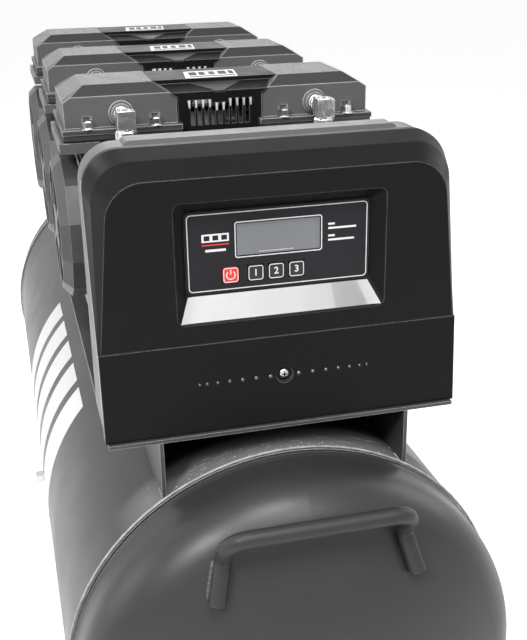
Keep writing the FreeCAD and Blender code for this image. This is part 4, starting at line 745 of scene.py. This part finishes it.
def add_power_sign(bm, x, face, z, radius, line=0.75):
    """Ring that is open at its top, with a bar through the gap."""
    angles = [math.radians(130 + 280 * i / 24) for i in range(25)]
    for first, second in zip(angles, angles[1:]):
        add_loops(bm, [[mm(x + r * math.cos(a), face + dy, z + r * math.sin(a))
                        for r, a in ((radius, first), (radius + line, first), (radius + line, second),
                                     (radius, second))] for dy in (0, -PRINT)])
    add_box(bm, (x - line / 2, face - PRINT, z + radius * 0.2), (x + line / 2, face, z + radius * 1.5))


def add_number(bm, text, x, face, z, height):
    """Upright digit on a face that looks to -Y."""
    curve = bpy.data.curves.new("digit_curve", "FONT")
    curve.body = text
    curve.size = height * MM
    curve.extrude = PRINT * MM / 2
    curve.offset = 0.12 * MM
    curve.align_x = "CENTER"
    curve.align_y = "CENTER"
    holder = bpy.data.objects.new("digit_holder", curve)
    bpy.context.collection.objects.link(holder)
    bpy.context.view_layer.update()
    mesh = holder.to_mesh()
    mesh.transform(Matrix.Translation(mm(x, face - PRINT / 2, z)) @ Matrix.Rotation(math.radians(90), 4, "X"))
    bm.from_mesh(mesh)
    holder.to_mesh_clear()
    bpy.data.objects.remove(holder)
    bpy.data.curves.remove(curve)


DOTS = 7
DOT_FIRST, DOT_LAST, DOT_EASE = 11.0, 65.0, 1.25


def add_dot_studs():
    """Small bright stud in each hole of the row across the lower cover."""
    low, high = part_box("cover_screw")
    z = (low.z + high.z) / 2 / MM
    bm = bmesh.new()
    for i in range(DOTS):
        share = i / (DOTS - 1)
        x = DOT_FIRST + (DOT_LAST - DOT_FIRST) * (1 - (1 - share) ** DOT_EASE)
        size = 1.25 - 0.5 * share
        for side in (-1, 1):
            front = surface_at("lower_cover", side * x, z + 4).y
            add_turned(bm, (side * x, front + 1.4, z - 0.1), (0, -1, 0), [(size, 0), (size, 0.7), (size * 0.75, 1.15),
                                                                        (size * 0.3, 1.4)], sides=14)
    piece("cover_dot_studs", bm, "screw_steel", smooth=70)


def add_cover_screw():
    """Pan head in the lower cover's well; its cross recess is a black plastic cross laid on the head, which is
    painted shade.
    """
    low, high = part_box("cover_screw")
    low, high = low / MM, high / MM
    x, z = (low.x + high.x) / 2, (low.z + high.z) / 2
    radius = (high.x - low.x) / 2
    bm = bmesh.new()
    add_turned(bm, (x, high.y, z), (0, -1, 0), [(radius, 0), (radius, 2.4), (radius * 0.93, 3.6),
                                               (radius * 0.7, 4.8), (radius * 0.36, 5.3)], sides=36)
    screw = piece("cover_screw_head", bm, "screw_steel", smooth=50)
    # Black cross standing for the shade in the recess: painted shade.
    cross = bmesh.new()
    arm, half = radius * 0.55, radius * 0.13
    for a, b in ((arm, half), (half, arm)):
        add_box(cross, (x - a, high.y - 5.42, z - b), (x + a, high.y - 4.0, z + b))
    piece("cover_screw_cross_shade", cross, "box_plastic")
    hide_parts("cover_screw")


LEDGE_DROP = 19.0
LEDGE_SPLAY = 9.2


def surface_at(node, x, z):
    """Place in mm on the front of a CAD node at the given width and height."""
    _, place, _, _ = NODES[node].ray_cast(Vector((x * MM, -1.0, z * MM)), Vector((0, 1, 0)))
    return place / MM


def add_ledge():
    """Polished ledge under the display: a thin skin that follows the recess's lower slope, coloured lighter than the
    black plastic around it as a painted highlight.
    """
    low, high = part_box("display_membrane")
    low, high = low / MM, high / MM
    across, down, skin = 24, 5, 0.12
    rows = []
    for k in range(down + 1):
        share = k / down
        half = high.x + (LEDGE_SPLAY - 1.6) * share - 0.5
        z = low.z - 1.4 - (LEDGE_DROP - 2.6) * share
        rows.append([surface_at("upper_cover", -half + 2 * half * i / across, z) for i in range(across + 1)])
    bm = bmesh.new()
    grid = [[bm.verts.new((p - Vector((0, skin, 0))) * MM) for p in row] for row in rows]
    for first, second in zip(grid, grid[1:]):
        for i in range(across):
            bm.faces.new((first[i], first[i + 1], second[i + 1], second[i]))
    piece("display_ledge", bm, "ledge_gloss_and_highlight")


# ---- receiver ---------------------------------------------------------------------------
DECAL_NEAR, DECAL_FAR = -190.0, 150.0
DECAL_TOP, DECAL_LOW = 139.5, 186.0
STRIPES = 4
STRIPE_WIDE = 0.72
STRIPE_SLANT = 26.0
SHEET = 0.35


def shell_point(radius, centre_z, y, angle):
    turn = math.radians(angle)
    return Vector((radius * math.cos(turn), y, centre_z + radius * math.sin(turn))) * MM


def add_shell_patch(bm, radius, centre_z, near, far, first, last, near_slant=0.0, far_slant=0.0):
    """Thin sheet that lies on the receiver between two lengths and two angles; its ends may slant."""
    steps = max(2, round(abs(last - first) / 3))
    for k in range(steps):
        a, b = (first + (last - first) * i / steps for i in (k, k + 1))
        lean_a, lean_b = ((turn - first) / (last - first) for turn in (a, b))
        corners = ((near + near_slant * lean_a, a), (far + far_slant * lean_a, a),
                   (far + far_slant * lean_b, b), (near + near_slant * lean_b, b))
        inner = [shell_point(radius - 0.1, centre_z, y, turn) for y, turn in corners]
        outer = [shell_point(radius + SHEET, centre_z, y, turn) for y, turn in corners]
        add_loops(bm, [inner, outer])


def add_decal():
    """Plain white band on the receiver's left side: one full block, then slanted bars."""
    low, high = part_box("tank_shell")
    low, high = low / MM, high / MM
    front_low, front_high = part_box("front_head")
    radius = (front_high.x - front_low.x) / MM / 2 + 0.4
    centre_z = (low.z + high.z) / 2
    bm = bmesh.new()
    pitch = (DECAL_FAR - STRIPE_SLANT - DECAL_NEAR) / (STRIPES + 1)
    add_shell_patch(bm, radius, centre_z, DECAL_NEAR, DECAL_NEAR + pitch * STRIPE_WIDE, DECAL_TOP, DECAL_LOW,
                    far_slant=STRIPE_SLANT)
    for k in range(1, STRIPES + 1):
        near = DECAL_NEAR + k * pitch
        add_shell_patch(bm, radius, centre_z, near, near + pitch * STRIPE_WIDE, DECAL_TOP, DECAL_LOW,
                        STRIPE_SLANT, STRIPE_SLANT)
    piece("side_decal", bm, "decal_white", smooth=60)


def add_bead(bm, points, radius, pitch=3.0):
    """Row of overlapping weld ripples along points in mm."""
    run = [Vector(p) for p in points]
    marks = []
    for a, b in zip(run, run[1:]):
        count = max(1, round((b - a).length / pitch))
        marks += [(a.lerp(b, i / count), (b - a).normalized()) for i in range(count)]
    for place, way in marks:
        add_turned(bm, place - way * pitch, way, [(radius * 0.35, 0), (radius * 0.9, pitch * 0.35),
                                                   (radius, pitch * 0.9), (radius * 0.8, pitch * 1.5),
                                                   (radius * 0.3, pitch * 1.8)], sides=10)


def add_ripple_tube(bm, points, radius, pitch):
    """One lumpy weld bead along points in mm."""
    run = [Vector(p) for p in points]
    places = []
    for a, b in zip(run, run[1:]):
        count = max(1, round((b - a).length / (pitch / 4)))
        places += [(a.lerp(b, i / count), (b - a).normalized()) for i in range(count)]
    loops = []
    for k, (place, way) in enumerate(places):
        u = way.cross(Vector((0, 1, 0))).normalized()
        v = way.cross(u)
        ends = min(1.0, (k + 1) / 4, (len(places) - k) / 4)
        wide = radius * ends * (1 + 0.12 * math.sin(math.tau * k / 4))
        loops.append([(place + (u * math.cos(turn) + v * math.sin(turn)) * wide) * MM
                      for turn in (math.tau * i / 12 for i in range(12))])
    add_loops(bm, loops)


def add_seams():
    """Ripple of the round weld where each dished head meets the shell."""
    low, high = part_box("tank_shell")
    low, high = low / MM, high / MM
    centre_z = (low.z + high.z) / 2
    _, front_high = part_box("front_head")
    radius = front_high.x / MM + SEAM_OUT
    bm = bmesh.new()
    for y in (low.y + 1.4, high.y - 1.4):
        add_bead(bm, [shell_point(radius, centre_z, y, 4 * k) / MM for k in range(91)], 1.1, 3.2)
    piece("seam_welds", bm, "seam_weld", smooth=70)


SEAM_OUT = 1.6
SPATTER = 90


def add_spatter():
    """Weld spatter and short scratches on the shell behind the front seam, and blobs at the rails' feet."""
    low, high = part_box("tank_shell")
    _, front_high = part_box("front_head")
    radius, centre_z, near = front_high.x / MM + 0.4, (low.z + high.z) / 2 / MM, low.y / MM
    draw = random.Random(11)
    bm = bmesh.new()
    for _ in range(SPATTER):
        y, turn = near + 6 + 26 * draw.random() ** 1.6, 52 + 74 * draw.random()
        size = 0.3 + 0.5 * draw.random() ** 2
        way = shell_point(1, 0, 0, turn).normalized()
        add_turned(bm, shell_point(radius - 0.1, centre_z, y, turn) / MM, way,
                   [(size, 0), (size * 0.8, size * 0.5), (size * 0.3, size * 0.8)], sides=7, turn=draw.random())
    for _ in range(SPATTER // 8):
        y, turn = near + 8 + 24 * draw.random(), 62 + 50 * draw.random()
        add_shell_patch(bm, radius - SHEET + 0.12, centre_z, y, y + 0.35, turn, turn + 2 + 3 * draw.random())
    _, rail_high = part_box("platform_rails")
    for side in (-1, 1):
        x = side * rail_high.x / MM
        turn = math.degrees(math.acos(x / radius))
        for k in range(7):
            spot = shell_point(radius + 0.3, centre_z, near + 5 + 2.2 * k, turn + side * 0.7) / MM
            add_turned(bm, spot, (0, 0.3, 1), [(1.2, -1.2), (2.2, 0), (1.9, 1.1), (0.8, 2.0)], sides=9)
    piece("weld_spatter", bm, "seam_weld", smooth=60)


KINK_X, KINK_Z = 68.0, 407.0
LEG_X, LEG_Z = 75.5, 377.0
BEAD_OUT = 5.6


def add_handle_welds():
    """Bead down the outer side of each handle leg, on the dished head."""
    bm = bmesh.new()
    for side in (-1, 1):
        spots = []
        for k in range(7):
            share = k / 6
            x = side * (KINK_X + (LEG_X - KINK_X) * share + BEAD_OUT)
            z = KINK_Z - 3 + (LEG_Z - KINK_Z + 3) * share
            spots.append(surface_at("front_head", x, z) - Vector((0, 0.8, 0)))
        add_ripple_tube(bm, spots, 2.3, 4.4)
    piece("handle_welds", bm, "weld", smooth=70)


# ---- build ------------------------------------------------------------------------------
add_camera()
add_world()
add_floor()
add_lights()
MATERIALS = make_materials()
dress_nodes()
add_elbows()
add_head_screws()
add_lid_details()
add_display_print()
add_key_prints()
add_dot_studs()
add_cover_screw()
add_ledge()
add_decal()
add_seams()
add_spatter()
add_handle_welds()

bpy.context.scene.view_settings.view_transform = "Standard"

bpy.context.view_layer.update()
